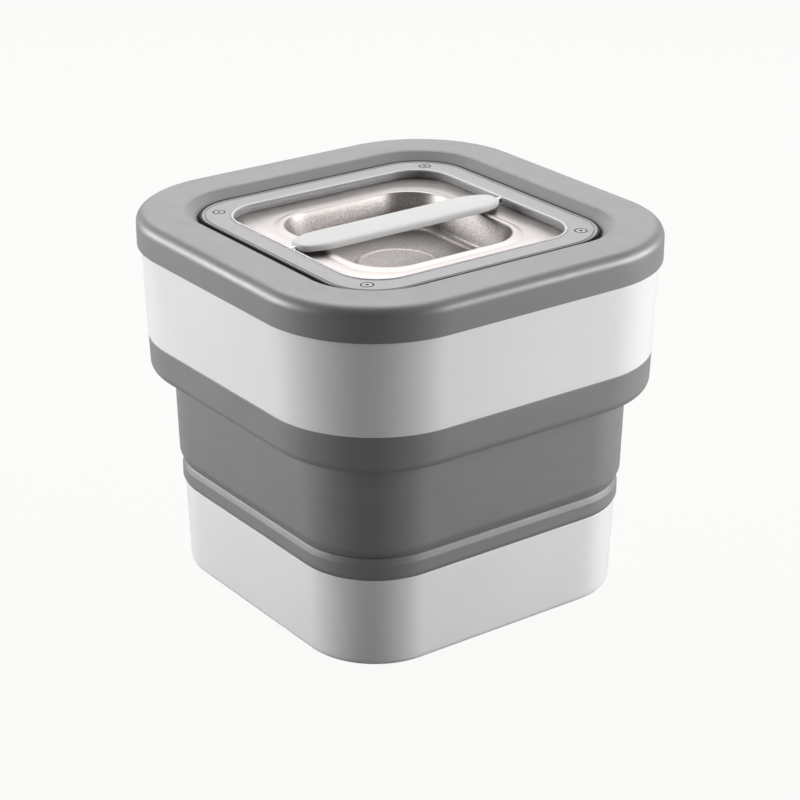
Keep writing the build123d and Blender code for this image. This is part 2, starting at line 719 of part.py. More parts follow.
FRAME_SHEET = LID_TOP_Z - LID_PLATE - LINER_Z - 0.1
with BuildPart() as lid_frame:
    with BuildSketch(Plane.XY.offset(LINER_Z + 0.1)):
        RectangleRounded(2 * LID_HALF - 1, 2 * LID_HALF - 1, LID_HALF - 0.5 - CORNER)
        RectangleRounded(2 * 91.0, 2 * 91.0, 25.0, mode=Mode.SUBTRACT)
        with Locations(*square_spots(SCREW_SPOT)):
            Circle(4.9, mode=Mode.SUBTRACT)
    extrude(amount=FRAME_SHEET)
    sweep(
        wall_face((101.2, 242.6), (103.0, 242.6), (103.0, 245.1), (101.2, 245.1)),
        path=tub_path(101.2),
    )
lid_frame.part.label = "lid_frame"

with BuildPart() as lid_seal:
    sweep(
        wall_face(
            (98.0, SEAT_Z),
            (100.9, SEAT_Z),
            (100.9, 245.1),
            (98.0, 245.1),
            rounds=[0.8, 0.8, 0, 0],
        ),
        path=tub_path(98.0),
    )
lid_seal.part.label = "lid_seal"

with BuildPart() as lid_liner:
    liner_half = 96.0
    with BuildSketch(Plane.XY.offset(LINER_Z - LINER_SHEET)):
        RectangleRounded(2 * liner_half, 2 * liner_half, liner_half - CORNER)
        pocket_open = POCKET_HALF + 3.0
        RectangleRounded(
            2 * pocket_open, 2 * pocket_open, pocket_open - POCKET_CORNER, mode=Mode.SUBTRACT
        )
    extrude(amount=LINER_SHEET)
    sweep(
        wall_face(
            (pocket_open + 0.6, LINER_Z - LINER_SHEET),
            (pocket_open + 0.6, LINER_Z),
            (POCKET_HALF + 0.6, RIM_Z),
            (55.0, POCKET_FLOOR_Z),
            (46.0, POCKET_FLOOR_Z),
            (46.0, POCKET_FLOOR_Z - LINER_SHEET),
            (55.6, POCKET_FLOOR_Z - LINER_SHEET),
            (POCKET_HALF + 0.9, LINER_Z - LINER_SHEET),
            rounds=[0, 0.8, 1.2, 7, 0, 0, 7, 0],
        ),
        path=tub_path(46.0, POCKET_CORNER),
    )
    with BuildSketch(Plane.XY.offset(POCKET_FLOOR_Z - LINER_SHEET)):
        RectangleRounded(2 * 46.2, 2 * 46.2, 46.2 - POCKET_CORNER)
    extrude(amount=LINER_SHEET)
    with BuildSketch(Plane.XY.offset(POCKET_FLOOR_Z)):
        Circle(27.6)
        Circle(26.0, mode=Mode.SUBTRACT)
    extrude(amount=0.6)
lid_liner.part.label = "lid_liner"

with BuildPart() as lid_standoffs:
    with BuildSketch(Plane.XY.offset(LINER_Z)):
        with Locations(*square_spots(SCREW_SPOT)):
            Circle(4.6)
            Circle(1.5, mode=Mode.SUBTRACT)
    extrude(amount=LID_TOP_Z - LID_PLATE - LINER_Z)
lid_standoffs.part.label = "lid_standoffs"

with BuildPart() as lid_screws:
    with BuildSketch(Plane.XY.offset(LID_TOP_Z - 0.9)):
        with Locations(*square_spots(SCREW_SPOT)):
            Circle(3.4)
    extrude(amount=0.8)
    with BuildSketch(Plane.XY.offset(LID_TOP_Z - 0.9)):
        with Locations(*square_spots(SCREW_SPOT)):
            Circle(1.5)
    extrude(amount=LINER_Z - LID_TOP_Z + 0.9)
    with BuildSketch(Plane.XY.offset(LID_TOP_Z)):
        with Locations(*square_spots(SCREW_SPOT)):
            RegularPolygon(1.3, 6)
    extrude(amount=-0.7, mode=Mode.SUBTRACT)
lid_screws.part.label = "lid_screws"

HANDLE_Z = 247.0  # underside of the handle bar
HANDLE_TOP = 252.4
PIN_R = 1.8
PIN_Z = 248.6
with BuildPart() as lid_handle:
    with BuildSketch(Plane.XY.offset(HANDLE_Z)):
        end = HANDLE_LENGTH / 2
        side = HANDLE_WIDTH / 2
        straight = end - 17
        tip = side - 9.0
        with BuildLine():
            FilletPolyline(
                (side, -straight),
                (side, straight),
                (tip, end),
                (-tip, end),
                (-side, straight),
                (-side, -straight),
                (-tip, -end),
                (tip, -end),
                radius=[20, 20, 4, 4, 20, 20, 4, 4],
                close=True,
            )
        make_face()
    extrude(amount=HANDLE_TOP - HANDLE_Z)
    fillet(lid_handle.faces().sort_by(Axis.Z)[-1].edges(), 2.4)
    fillet(lid_handle.faces().sort_by(Axis.Z)[0].edges(), 1.6)
    with BuildSketch(Plane.XZ.offset(HANDLE_LENGTH / 2)):
        with Locations((0, PIN_Z)):
            Circle(PIN_R)
    extrude(amount=-8, mode=Mode.SUBTRACT)
    with BuildSketch(Plane.XZ.offset(-HANDLE_LENGTH / 2)):
        with Locations((0, PIN_Z)):
            Circle(PIN_R)
    extrude(amount=8, mode=Mode.SUBTRACT)
lid_handle.part.label = "lid_handle"

with BuildPart() as handle_pins:
    for way in (1, -1):
        with BuildSketch(Plane.XZ.offset(way * WELL_HALF)):
            with Locations((0, PIN_Z)):
                Circle(PIN_R)
        extrude(amount=-way * 11)
handle_pins.part.label = "handle_pins"

for piece in (
    base_shell,
    bottom_cover,
    feet,
    cover_screws,
    tub_floor,
    lower_ring,
    folding_wall,
    motor_bracket,
    bracket_screws,
    motor_can,
    motor_shaft,
    pinion,
    drive_gear,
    drive_shaft,
    lower_bush,
    upper_bush,
    shaft_seal,
    pulsator,
    pulsator_cap,
    button_bezel,
    indicator_ring,
    start_button,
    control_board,
    power_inlet,
    drain_fitting,
    drain_gasket,
    drain_plug,
    upper_band,
    shoulder,
    band_clamp_ring,
    collar,
    lid_cover,
    lid_frame,
    lid_seal,
    lid_liner,
    lid_standoffs,
    lid_screws,
    lid_handle,
    handle_pins,
):
    export_step(piece.part, f"parts/{piece.part.label}.step")
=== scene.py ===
"""Dressed model of a portable mini washer: a collapsible square tub with a lift-out lid.

Every ring of the tub is a wall section (half width, height) carried round a rounded square,
so one formula makes the collar, the bands and the folding wall:
a point is corner centre + (half width - core) * outward normal.
Sections are in millimetres, meshes in metres; +Z up, origin on the floor under the tub.
"""

from __future__ import annotations

import json
import logging
import math
from dataclasses import dataclass, field
from enum import Enum
from typing import Sequence, Union

import bmesh
import bpy
import numpy as np
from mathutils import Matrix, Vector

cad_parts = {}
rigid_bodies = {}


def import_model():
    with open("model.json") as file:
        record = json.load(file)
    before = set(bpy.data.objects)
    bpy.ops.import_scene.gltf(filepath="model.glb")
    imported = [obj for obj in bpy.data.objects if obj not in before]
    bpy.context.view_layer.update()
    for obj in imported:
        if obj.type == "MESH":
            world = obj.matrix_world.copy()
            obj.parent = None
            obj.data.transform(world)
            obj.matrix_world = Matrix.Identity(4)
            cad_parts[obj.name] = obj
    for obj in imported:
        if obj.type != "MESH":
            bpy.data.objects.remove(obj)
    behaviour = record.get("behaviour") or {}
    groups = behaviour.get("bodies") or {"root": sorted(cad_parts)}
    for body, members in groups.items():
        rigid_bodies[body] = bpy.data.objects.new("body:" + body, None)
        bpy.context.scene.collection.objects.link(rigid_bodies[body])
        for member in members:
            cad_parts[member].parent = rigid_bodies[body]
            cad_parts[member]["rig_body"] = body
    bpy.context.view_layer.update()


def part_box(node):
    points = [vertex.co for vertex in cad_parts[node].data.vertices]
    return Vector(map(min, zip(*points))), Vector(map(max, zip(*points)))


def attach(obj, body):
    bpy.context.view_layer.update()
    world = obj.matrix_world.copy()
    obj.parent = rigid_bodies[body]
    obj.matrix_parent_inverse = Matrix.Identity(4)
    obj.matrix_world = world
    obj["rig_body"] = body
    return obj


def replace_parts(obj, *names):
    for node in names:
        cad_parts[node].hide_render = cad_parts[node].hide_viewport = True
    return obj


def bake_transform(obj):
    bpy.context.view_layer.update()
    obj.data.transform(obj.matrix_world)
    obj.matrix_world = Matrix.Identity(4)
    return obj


LOG = logging.getLogger("mini_washer")
MM = 0.001
CORE = 66.0  # corner arcs of every tub ring are centred at (+-CORE, +-CORE) millimetres
EDGE = 0.25  # smallest round that a moulded edge has, in millimetres
ARC_SHARE = 0.46  # most of a side that the arc at one of its ends takes
SUPPORT = 0.3  # how far the point that supports an arc stands from it, in millimetres
SUPPORT_SHARE = 0.03  # most of a side that lies between an arc and that point
CRISP = 35.0  # edges of new pieces that turn by more degrees than this stay crisp
NODE_CRISP = 28.0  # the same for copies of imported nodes
SAME_POINT = 1e-7  # points of a new piece that are nearer than this are one, in metres
NODE_SAME_POINT = 2e-6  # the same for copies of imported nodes
NOISE_ENDS = (0.3, 0.7)  # values between which nearly all of a noise lies
UNIT_ENDS = (0.0, 1.0)  # ends of a share
LINER_SHEET = 0.001  # thickness of the liner, in metres
FLANGE_SKIN = 0.002  # how far under the flange the liner's smoother skin starts, in metres
QUARTER_TURNS = (0.0, math.pi / 2, math.pi, 3 * math.pi / 2)
Corner = tuple[float, float, float]  # half width, height and round of a section's corner
Value = Union[bpy.types.NodeSocket, float]  # what an input takes: another node's output or a number


class Body(Enum):
    """Moving bodies of the washer."""

    BASE = "base"
    UPPER = "upper"
    LID = "lid"


class Axis(Enum):
    """Direction of a round cutter, with the order that turns (across, across, along) into (x, y, z)."""

    X = (2, 0, 1)
    Y = (0, 2, 1)
    Z = (0, 1, 2)


@dataclass(frozen=True)
class Extent:
    """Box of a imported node, in millimetres."""

    low: tuple[float, float, float]
    high: tuple[float, float, float]

    @classmethod
    def of(cls, node: str) -> Extent:
        """Reads a node's box from the frame.

        Args:
            node: Name of the node.

        Returns:
            Its box at rest.
        """
        low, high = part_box(node)
        return cls(tuple(round(v / MM, 3) for v in low), tuple(round(v / MM, 3) for v in high))

    def middle(self, axis: int) -> float:
        """Middle of the box along one axis."""
        return (self.low[axis] + self.high[axis]) / 2

    def reach(self, axis: int) -> float:
        """Half size of the box along one axis."""
        return (self.high[axis] - self.low[axis]) / 2


# ---- surfaces ----------------------------------------------------------------------


def stations(core: np.ndarray, arc_steps: int = 32,
             side_steps: int = 14) -> tuple[np.ndarray, np.ndarray]:
    """Places and outward normals round a square of corner centres.

    One quarter is a straight side, whose normal stays, and then a corner, whose normal turns
    through a right angle; the other quarters are that one turned.

    Args:
        core: Half distance between neighbouring corner centres, one for each section point.
        arc_steps: Steps in a corner.
        side_steps: Steps along a side.

    Returns:
        Places (section points, stations, 2) and normals (stations, 2).
    """
    along = np.linspace(-1, 1, side_steps, endpoint=False)
    turn = np.linspace(0, math.pi / 2, arc_steps, endpoint=False)
    place = np.concatenate([np.stack([np.ones(side_steps), along], 1), np.ones((arc_steps, 2))])
    side_normal = np.tile([1.0, 0.0], (side_steps, 1))
    normal = np.concatenate([side_normal, np.stack([np.cos(turn), np.sin(turn)], 1)])
    quarters = [
        np.array([[math.cos(a), math.sin(a)], [-math.sin(a), math.cos(a)]]) for a in QUARTER_TURNS
    ]
    places = np.concatenate([place @ q for q in quarters])
    normals = np.concatenate([normal @ q for q in quarters])
    return np.asarray(core)[:, None, None] * places[None], normals


def carried(section: np.ndarray, core: float | np.ndarray = CORE, **steps: int) -> np.ndarray:
    """Section carried round the rounded square: place + (half width - core) * normal.

    Args:
        section: Points (half width, height), in millimetres.
        core: Corner centres' half distance, one for all points or one for each.
        **steps: Steps of a corner and a side, as stations() takes them.

    Returns:
        Grid of points (section points, stations, 3), in metres.
    """
    cores = np.broadcast_to(np.asarray(core, float), section.shape[:1])
    places, normals = stations(cores, **steps)
    flat = places + (section[:, 0] - cores)[:, None, None] * normals[None]
    height = np.broadcast_to(section[:, 1][:, None, None], flat.shape[:2] + (1,))
    return np.concatenate([flat, height], 2) * MM


def turned(section: np.ndarray, steps: int = 64, centre: Sequence[float] = (0, 0)) -> np.ndarray:
    """Section (radius, height) turned about an upright line: centre + radius * (cos, sin).

    Args:
        section: Points (radius, height), in millimetres.
        steps: Steps of the full turn.
        centre: Where the line stands, in millimetres.

    Returns:
        Grid of points (section points, steps, 3), in metres.
    """
    angle = np.linspace(0, 2 * math.pi, steps, endpoint=False)
    ring = np.stack([np.cos(angle), np.sin(angle)], 1)
    flat = section[:, 0][:, None, None] * ring[None] + np.asarray(centre, float)
    height = np.broadcast_to(section[:, 1][:, None, None], flat.shape[:2] + (1,))
    return np.concatenate([flat, height], 2) * MM


def rounded(corners: Sequence[Corner], closed: bool = True, steps: int = 9,
            longest: float = 200.0) -> np.ndarray:
    """Section outline whose corners are arcs, with a supporting point beside each arc.

    An arc of radius r touches both sides r / tan(half the corner's angle) from the corner, and its
    points are the centre plus a direction that swings from one side's normal to the other's.

    Args:
        corners: Half width, height and radius of each, in millimetres; a radius is at least EDGE.
        closed: Whether the outline closes on itself; the ends of an open one stay sharp.
        steps: Steps in an arc.
        longest: Longest step that a straight side keeps, in millimetres.

    Returns:
        Outline points (n, 2).
    """
    table = np.asarray(corners, float)
    corner, radius = table[:, :2], np.maximum(table[:, 2], EDGE)
    before, after = np.roll(corner, 1, 0), np.roll(corner, -1, 0)
    share = np.linspace(0, 1, steps + 1)[:, None]
    runs: list[np.ndarray] = []
    for number, (here, back, ahead, r) in enumerate(zip(corner, before, after, radius)):
        if not closed and number in (0, len(corner) - 1):
            runs.append(here[None])
            continue
        u, v = back - here, ahead - here
        lu, lv = np.linalg.norm(u), np.linalg.norm(v)
        u, v = u / lu, v / lv
        half_angle = math.acos(float(np.clip(u @ v, -1, 1))) / 2
        touch = min(r / math.tan(half_angle), ARC_SHARE * lu, ARC_SHARE * lv)
        r = touch * math.tan(half_angle)
        centre = here + (u + v) / np.linalg.norm(u + v) * r / math.sin(half_angle)
        first, last = here + u * touch - centre, here + v * touch - centre
        spread = math.pi - 2 * half_angle
        swing = np.sin((1 - share) * spread) * first + np.sin(share * spread) * last
        arc = centre + swing / math.sin(spread)
        lead = arc[:1] + u * min(SUPPORT, SUPPORT_SHARE * lu)
        tail = arc[-1:] + v * min(SUPPORT, SUPPORT_SHARE * lv)
        runs.append(np.concatenate([lead, arc, tail]))
    return spaced(np.concatenate(runs), longest, closed)


def spaced(outline: np.ndarray, longest: float, closed: bool) -> np.ndarray:
    """Outline with points put in so that no step is longer than given.

    Args:
        outline: Points (n, 2).
        longest: Longest step, in millimetres.
        closed: Whether the last point joins the first.

    Returns:
        The denser outline.
    """
    ends = np.roll(outline, -1, 0) if closed else np.concatenate([outline[1:], outline[-1:]])
    count = np.maximum(1, np.ceil(np.linalg.norm(ends - outline, axis=1) / longest)).astype(int)
    start = np.repeat(outline, count, 0)
    stop = np.repeat(ends, count, 0)
    place = np.arange(count.sum()) - np.repeat(np.cumsum(count) - count, count)
    share = (place / np.repeat(count, count))[:, None]
    return start + (stop - start) * share


def strip(inner: float, outer: float, low: float, top: float,
          rounds: Sequence[float] = (0, 0, 0, 0), steps: int = 9) -> np.ndarray:
    """Closed section of a plain strip: a rectangle with rounded corners.

    Args:
        inner: Half width or radius of its inner face, in millimetres.
        outer: The same of its outer face.
        low: Height of its foot.
        top: Height of its top.
        rounds: Radii of the corners, from the inner foot outwards and up.
        steps: Steps in an arc.

    Returns:
        Outline points (n, 2).
    """
    places = ((inner, low), (outer, low), (outer, top), (inner, top))
    return rounded([(*place, r) for place, r in zip(places, rounds)], steps=steps)


def wrap_lengths(grid: np.ndarray) -> np.ndarray:
    """Distances along the columns and along the rows, added up from the first point.

    Args:
        grid: Points (rows, columns, 3), in metres.

    Returns:
        Lengths (rows, columns, 2), in metres.
    """
    along = np.linalg.norm(np.diff(grid, axis=1, prepend=grid[:, :1]), axis=2).cumsum(1)
    across = np.linalg.norm(np.diff(grid, axis=0, prepend=grid[:1]), axis=2).cumsum(0)
    return np.stack([along, across], -1)


def sheet_mesh(name: str, grid: np.ndarray, round_rows: bool = False,
               poles: Sequence[int] = ()) -> bpy.types.Object:
    """Object whose faces join neighbouring points of a grid, which closes along its columns.

    Args:
        name: Name of the piece.
        grid: Points (rows, columns, 3), in metres.
        round_rows: Whether the last row joins the first.
        poles: 0 to close the first row with one point, -1 to close the last one.

    Returns:
        The new object, with a UV map in metres along the columns and the rows.
    """
    rows, columns = grid.shape[:2]
    index = np.arange(rows * columns).reshape(rows, columns)
    below = np.roll(index, -1, 0) if round_rows else index[1:]
    here = index if round_rows else index[:-1]
    quads = np.stack([here, np.roll(here, -1, 1), np.roll(below, -1, 1), below], -1)
    points = grid.reshape(-1, 3)
    faces = [tuple(quad) for quad in quads.reshape(-1, 4).tolist()]
    for pole in poles:
        points = np.concatenate([points, grid[pole].mean(0)[None]])
        ring = index[pole]
        tip = len(points) - 1
        faces += [(a, b, tip) for a, b in zip(ring.tolist(), np.roll(ring, -1).tolist())]
    mesh = bpy.data.meshes.new(name)
    mesh.from_pydata(points.tolist(), [], faces)
    wrap = np.concatenate([wrap_lengths(grid).reshape(-1, 2), np.zeros((len(poles), 2))])
    corner_point = np.zeros(len(mesh.loops), np.int32)
    mesh.loops.foreach_get("vertex_index", corner_point)
    mesh.uv_layers.new(name="Wrap").data.foreach_set("uv", wrap[corner_point].astype(np.float32).ravel())
    return finished(name, mesh)


def hoop(name: str, section: np.ndarray, core: float | np.ndarray = CORE) -> bpy.types.Object:
    """Piece whose closed section is carried round the rounded square.

    Args:
        name: Name of the piece.
        section: Closed outline (half width, height), in millimetres.
        core: Corner centres' half distance, one for all points or one for each.

    Returns:
        The piece.
    """
    return sheet_mesh(name, carried(section, core), round_rows=True)


def placed(name: str, data: bpy.types.ID) -> bpy.types.Object:
    """Object of a mesh, a lamp or a camera, linked to the scene.

    Args:
        name: Name of the object.
        data: What it shows.

    Returns:
        The object.
    """
    made = bpy.data.objects.new(name, data)
    bpy.context.scene.collection.objects.link(made)
    return made


def shade(work: bmesh.types.BMesh, crisp: float) -> None:
    """Shades every face smoothly and leaves the sharper edges crisp.

    Args:
        work: The mesh at work.
        crisp: Edges that turn by more than this many degrees stay crisp.
    """
    for edge in work.edges:
        edge.smooth = edge.calc_face_angle(0.0) < math.radians(crisp)
    for face in work.faces:
        face.smooth = True


def finished(name: str, mesh: bpy.types.Mesh) -> bpy.types.Object:
    """Object of a mesh whose faces point outwards and shade smoothly.

    Args:
        name: Name of the piece.
        mesh: Its mesh.

    Returns:
        The object, linked to the scene.
    """
    work = bmesh.new()
    work.from_mesh(mesh)
    bmesh.ops.remove_doubles(work, verts=work.verts, dist=SAME_POINT)
    bmesh.ops.recalc_face_normals(work, faces=work.faces)
    shade(work, CRISP)
    work.to_mesh(mesh)
    work.free()
    return placed(name, mesh)


def facing_up(piece: bpy.types.Object) -> bpy.types.Object:
    """Turns an open sheet so that its faces point up.

    Args:
        piece: The sheet.

    Returns:
        The same object.
    """
    if sum(face.normal.z * face.area for face in piece.data.polygons) < 0:
        piece.data.flip_normals()
    return piece


def bored(piece: bpy.types.Object, cutters: Sequence[bpy.types.Object]) -> bpy.types.Object:
    """Piece with the cutters taken out of it, as a plain mesh.

    Args:
        piece: A closed solid.
        cutters: Closed solids to take away; they are removed from the scene.

    Returns:
        The same object with its new mesh.
    """
    for cutter in cutters:
        cut = piece.modifiers.new("bore", "BOOLEAN")
        cut.operation, cut.solver, cut.object = "DIFFERENCE", "EXACT", cutter
    bpy.context.view_layer.update()
    shape = piece.evaluated_get(bpy.context.evaluated_depsgraph_get())
    mesh = bpy.data.meshes.new_from_object(shape)
    piece.modifiers.clear()
    piece.data = mesh
    for cutter in cutters:
        bpy.data.objects.remove(cutter)
    if "sharp_edge" in mesh.attributes:
        mesh.attributes.remove(mesh.attributes["sharp_edge"])
    mesh.set_sharp_from_angle(angle=math.radians(CRISP))
    return piece


def drum(name: str, radius: float, ends: tuple[float, float], centre: Sequence[float],
         axis: Axis = Axis.Z, steps: int = 48) -> bpy.types.Object:
    """Closed round cutter along one axis: centre + radius * (cos, sin), from one end to the other.

    Args:
        name: Name of the cutter.
        radius: Its radius, in millimetres.
        ends: Where it starts and stops along the axis, in millimetres.
        centre: The axis's place in the plane across it, in millimetres.
        axis: Its direction.
        steps: Steps of its turn.

    Returns:
        The cutter.
    """
    section = np.array([[radius, ends[0]], [radius, ends[1]]], float)
    grid = turned(section, steps, centre)
    return sheet_mesh(name, grid[..., list(axis.value)], poles=(0, -1))


def merged_copy(node: str) -> bpy.types.Object:
    """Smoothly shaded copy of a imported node, with its loose triangles merged.

    Args:
        node: Name of the node.

    Returns:
        The copy, which stands for the node and rides on its body.
    """
    source = bpy.data.objects[node]
    work = bmesh.new()
    work.from_mesh(source.data)
    bmesh.ops.remove_doubles(work, verts=work.verts, dist=NODE_SAME_POINT)
    bmesh.ops.dissolve_degenerate(work, edges=work.edges, dist=SAME_POINT)
    shade(work, NODE_CRISP)
    mesh = bpy.data.meshes.new(node + "_moulded")
    work.to_mesh(mesh)
    work.free()
    piece = placed(node + "_moulded", mesh)
    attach(piece, source["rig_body"])
    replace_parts(piece, node)
    return piece


# ---- finishes ----------------------------------------------------------------------


class Wiring:
    """Makes and joins the nodes of one shader tree."""

    def __init__(self, tree: bpy.types.NodeTree) -> None:
        """Takes the tree that the nodes go into."""
        self.tree = tree

    def node(self, kind: str, **values: object) -> bpy.types.Node:
        """New node with values for its named inputs.

        Args:
            kind: Blender's name of the node type.
            **values: Values, by input name with underscores for spaces.

        Returns:
            The node.
        """
        made = self.tree.nodes.new(kind)
        for key, value in values.items():
            made.inputs[key.replace("_", " ")].default_value = value
        return made

    def link(self, source: bpy.types.NodeSocket, target: bpy.types.NodeSocket) -> None:
        """Joins two sockets."""
        self.tree.links.new(source, target)

    def give(self, value: Value, target: bpy.types.NodeSocket) -> None:
        """Gives an input its value, or joins it to the output that drives it.

        Args:
            value: The number, or the output.
            target: The input.
        """
        if isinstance(value, bpy.types.NodeSocket):
            self.link(value, target)
        else:
            target.default_value = value

    def math(self, operation: str, first: Value, second: Value) -> bpy.types.NodeSocket:
        """Sum, product or the like of two values.

        Args:
            operation: Blender's name of what is worked out.
            first: The first value.
            second: The second value.

        Returns:
            The result.
        """
        made = self.node("ShaderNodeMath")
        made.operation = operation
        self.give(first, made.inputs[0])
        self.give(second, made.inputs[1])
        return made.outputs[0]

    def between(self, share: bpy.types.NodeSocket, low: Value, high: Value,
                ends: tuple[float, float] = NOISE_ENDS, curve: str = "LINEAR") -> bpy.types.NodeSocket:
        """Number that runs from low to high as the share runs from one end to the other.

        Args:
            share: Value that drives it.
            low: Number at the first end.
            high: Number at the second end.
            ends: The driving value's ends.
            curve: Blender's name of how it runs.

        Returns:
            The number.
        """
        spread = self.node("ShaderNodeMapRange", From_Min=ends[0], From_Max=ends[1])
        spread.interpolation_type = curve
        self.link(share, spread.inputs["Value"])
        self.give(low, spread.inputs["To Min"])
        self.give(high, spread.inputs["To Max"])
        return spread.outputs["Result"]


class Bench(Wiring):
    """Lays out the nodes of one material round its Principled shader."""

    def __init__(self, name: str) -> None:
        """Starts a material with a Principled shader and its output.

        Args:
            name: Name of the material.
        """
        self.material = bpy.data.materials.new(name)
        self.material.use_nodes = True
        super().__init__(self.material.node_tree)
        self.tree.nodes.clear()
        self.shader = self.node("ShaderNodeBsdfPrincipled")
        self.out = self.node("ShaderNodeOutputMaterial")
        self.link(self.shader.outputs[0], self.out.inputs[0])
        self.place = self.node("ShaderNodeTexCoord").outputs["Object"]

    def feed(self, target: str, source: bpy.types.NodeSocket) -> None:
        """Joins a socket to one of the shader's named inputs."""
        self.link(source, self.shader.inputs[target])

    def set(self, **values: object) -> None:
        """Sets named inputs of the shader.

        Args:
            **values: Values, by input name with underscores for spaces.
        """
        for key, value in values.items():
            self.shader.inputs[key.replace("_", " ")].default_value = value

    def noise(self, scale: float, detail: float = 3.0,
              stretch: Sequence[float] = (1, 1, 1)) -> bpy.types.NodeSocket:
        """Noise over the object, with features about 1 / scale metres wide.

        Args:
            scale: Features in a metre.
            detail: Octaves of finer noise on top.
            stretch: How much finer the noise runs along each axis.

        Returns:
            The noise's value, nearly all of it between NOISE_ENDS.
        """
        mapping = self.node("ShaderNodeMapping", Scale=stretch)
        self.link(self.place, mapping.inputs["Vector"])
        grain = self.node("ShaderNodeTexNoise", Scale=scale, Detail=detail)
        self.link(mapping.outputs[0], grain.inputs["Vector"])
        return grain.outputs["Fac"]

    def shades(self, share: bpy.types.NodeSocket, colour: Sequence[float], low: float,
               high: float) -> bpy.types.NodeSocket:
        """Colour that goes from a darker to a lighter shade of itself as a noise rises.

        Args:
            share: The noise that drives it.
            colour: The colour.
            low: What the colour is multiplied with at the noise's low end.
            high: The same at its high end.

        Returns:
            The colour.
        """
        ramp = self.node("ShaderNodeValToRGB")
        for stop, place, by in zip(ramp.color_ramp.elements, NOISE_ENDS, (low, high)):
            stop.position = place
            stop.color = (*(min(1.0, part * by) for part in colour), 1)
        self.link(share, ramp.inputs[0])
        return ramp.outputs[0]

    def uneven(self, share: bpy.types.NodeSocket, level: float, low: float,
               high: float) -> bpy.types.NodeSocket:
        """Number that drifts about a level as a noise rises and falls.

        Args:
            share: The noise that drives it.
            level: The level.
            low: What the level is multiplied with at the noise's low end.
            high: The same at its high end.

        Returns:
            The number.
        """
        return self.between(share, level * low, level * high)

    def mixed(self, share: bpy.types.NodeSocket, first: bpy.types.NodeSocket,
              second: bpy.types.NodeSocket) -> bpy.types.NodeSocket:
        """Colour that goes from the first to the second as the share goes from 0 to 1.

        Args:
            share: Share of the second colour.
            first: Colour at 0.
            second: Colour at 1.

        Returns:
            The colour.
        """
        both = self.node("ShaderNodeMixRGB")
        for source, target in zip((share, first, second), both.inputs):
            self.link(source, target)
        return both.outputs[0]

    def bump(self, height: bpy.types.NodeSocket, depth: float,
             under: bpy.types.NodeSocket | None = None) -> bpy.types.NodeSocket:
        """Relief, on top of another one if there is one.

        Args:
            height: Value that rises and falls.
            depth: How far it rises, in metres.
            under: Normal that it starts from.

        Returns:
            The relief's normal.
        """
        relief = self.node("ShaderNodeBump", Strength=1.0, Distance=depth)
        self.link(height, relief.inputs["Height"])
        if under is not None:
            self.link(under, relief.inputs["Normal"])
        return relief.outputs[0]

    def above(self, height: float, blend: float = 0.001) -> bpy.types.NodeSocket:
        """Number that is 0 below a height and 1 above it.

        Args:
            height: The height, in metres.
            blend: How far above and below the height it changes, in metres.

        Returns:
            The number.
        """
        parts = self.node("ShaderNodeSeparateXYZ")
        self.link(self.place, parts.inputs[0])
        return self.between(parts.outputs["Z"], 0.0, 1.0, (height - blend, height + blend))


@dataclass(frozen=True)
class Moulded:
    """Injection-moulded plastic: a faint colour drift, spark-eroded grain and long waves."""

    name: str
    colour: tuple[float, float, float]
    roughness: float
    grain: float = 0.000004  # depth of the fine grain, in metres
    wave: float = 0.00002  # depth of the long waves, in metres
    coat: float = 0.0
    specular: float = 0.5
    ior: float = 1.5
    drift_scale: float = 14.0
    gloss_scale: float = 60.0
    wave_scale: float = 22.0
    grain_scale: float = 1600.0

    def build(self) -> bpy.types.Material:
        """Makes the material: drifting colour, uneven gloss, and grain over long waves.

        Returns:
            The material.
        """
        bench = Bench(self.name)
        drift = bench.noise(self.drift_scale, detail=4.0)
        bench.feed("Base Color", bench.shades(drift, self.colour, 0.98, 1.02))
        gloss = bench.noise(self.gloss_scale, detail=5.0)
        bench.feed("Roughness", bench.uneven(gloss, self.roughness, 0.92, 1.08))
        waves = bench.bump(bench.noise(self.wave_scale, detail=1.0), self.wave)
        grain = bench.noise(self.grain_scale, detail=2.0)
        bench.feed("Normal", bench.bump(grain, self.grain, waves))
        bench.set(Coat_Weight=self.coat, Coat_Roughness=0.08)
        bench.set(Specular_IOR_Level=self.specular, IOR=self.ior)
        return bench.material


@dataclass(frozen=True)
class Elastomer:
    """Soft moulding with fine pores and faint rings of flow round the wall."""

    name: str
    colour: tuple[float, float, float]
    roughness: float
    specular: float
    ior: float = 1.5
    pore: float = 0.000008  # depth of the pores, in metres
    ring: float = 0.00003  # depth of the flow rings, in metres
    flow_scale: float = 26.0
    gloss_scale: float = 45.0
    ring_scale: float = 34.0
    pore_scale: float = 1900.0

    def build(self) -> bpy.types.Material:
        """Makes the material: colour and relief run in flat bands, as the wall was filled.

        Returns:
            The material.
        """
        bench = Bench(self.name)
        flow = bench.noise(self.flow_scale, detail=4.0, stretch=(1, 1, 5))
        bench.feed("Base Color", bench.shades(flow, self.colour, 0.96, 1.04))
        gloss = bench.noise(self.gloss_scale, detail=5.0)
        bench.feed("Roughness", bench.uneven(gloss, self.roughness, 0.92, 1.08))
        bands = bench.noise(self.ring_scale, detail=2.0, stretch=(0.4, 0.4, 4))
        pores = bench.noise(self.pore_scale, detail=2.0)
        bench.feed("Normal", bench.bump(pores, self.pore, bench.bump(bands, self.ring)))
        bench.set(Specular_IOR_Level=self.specular, IOR=self.ior)
        return bench.material


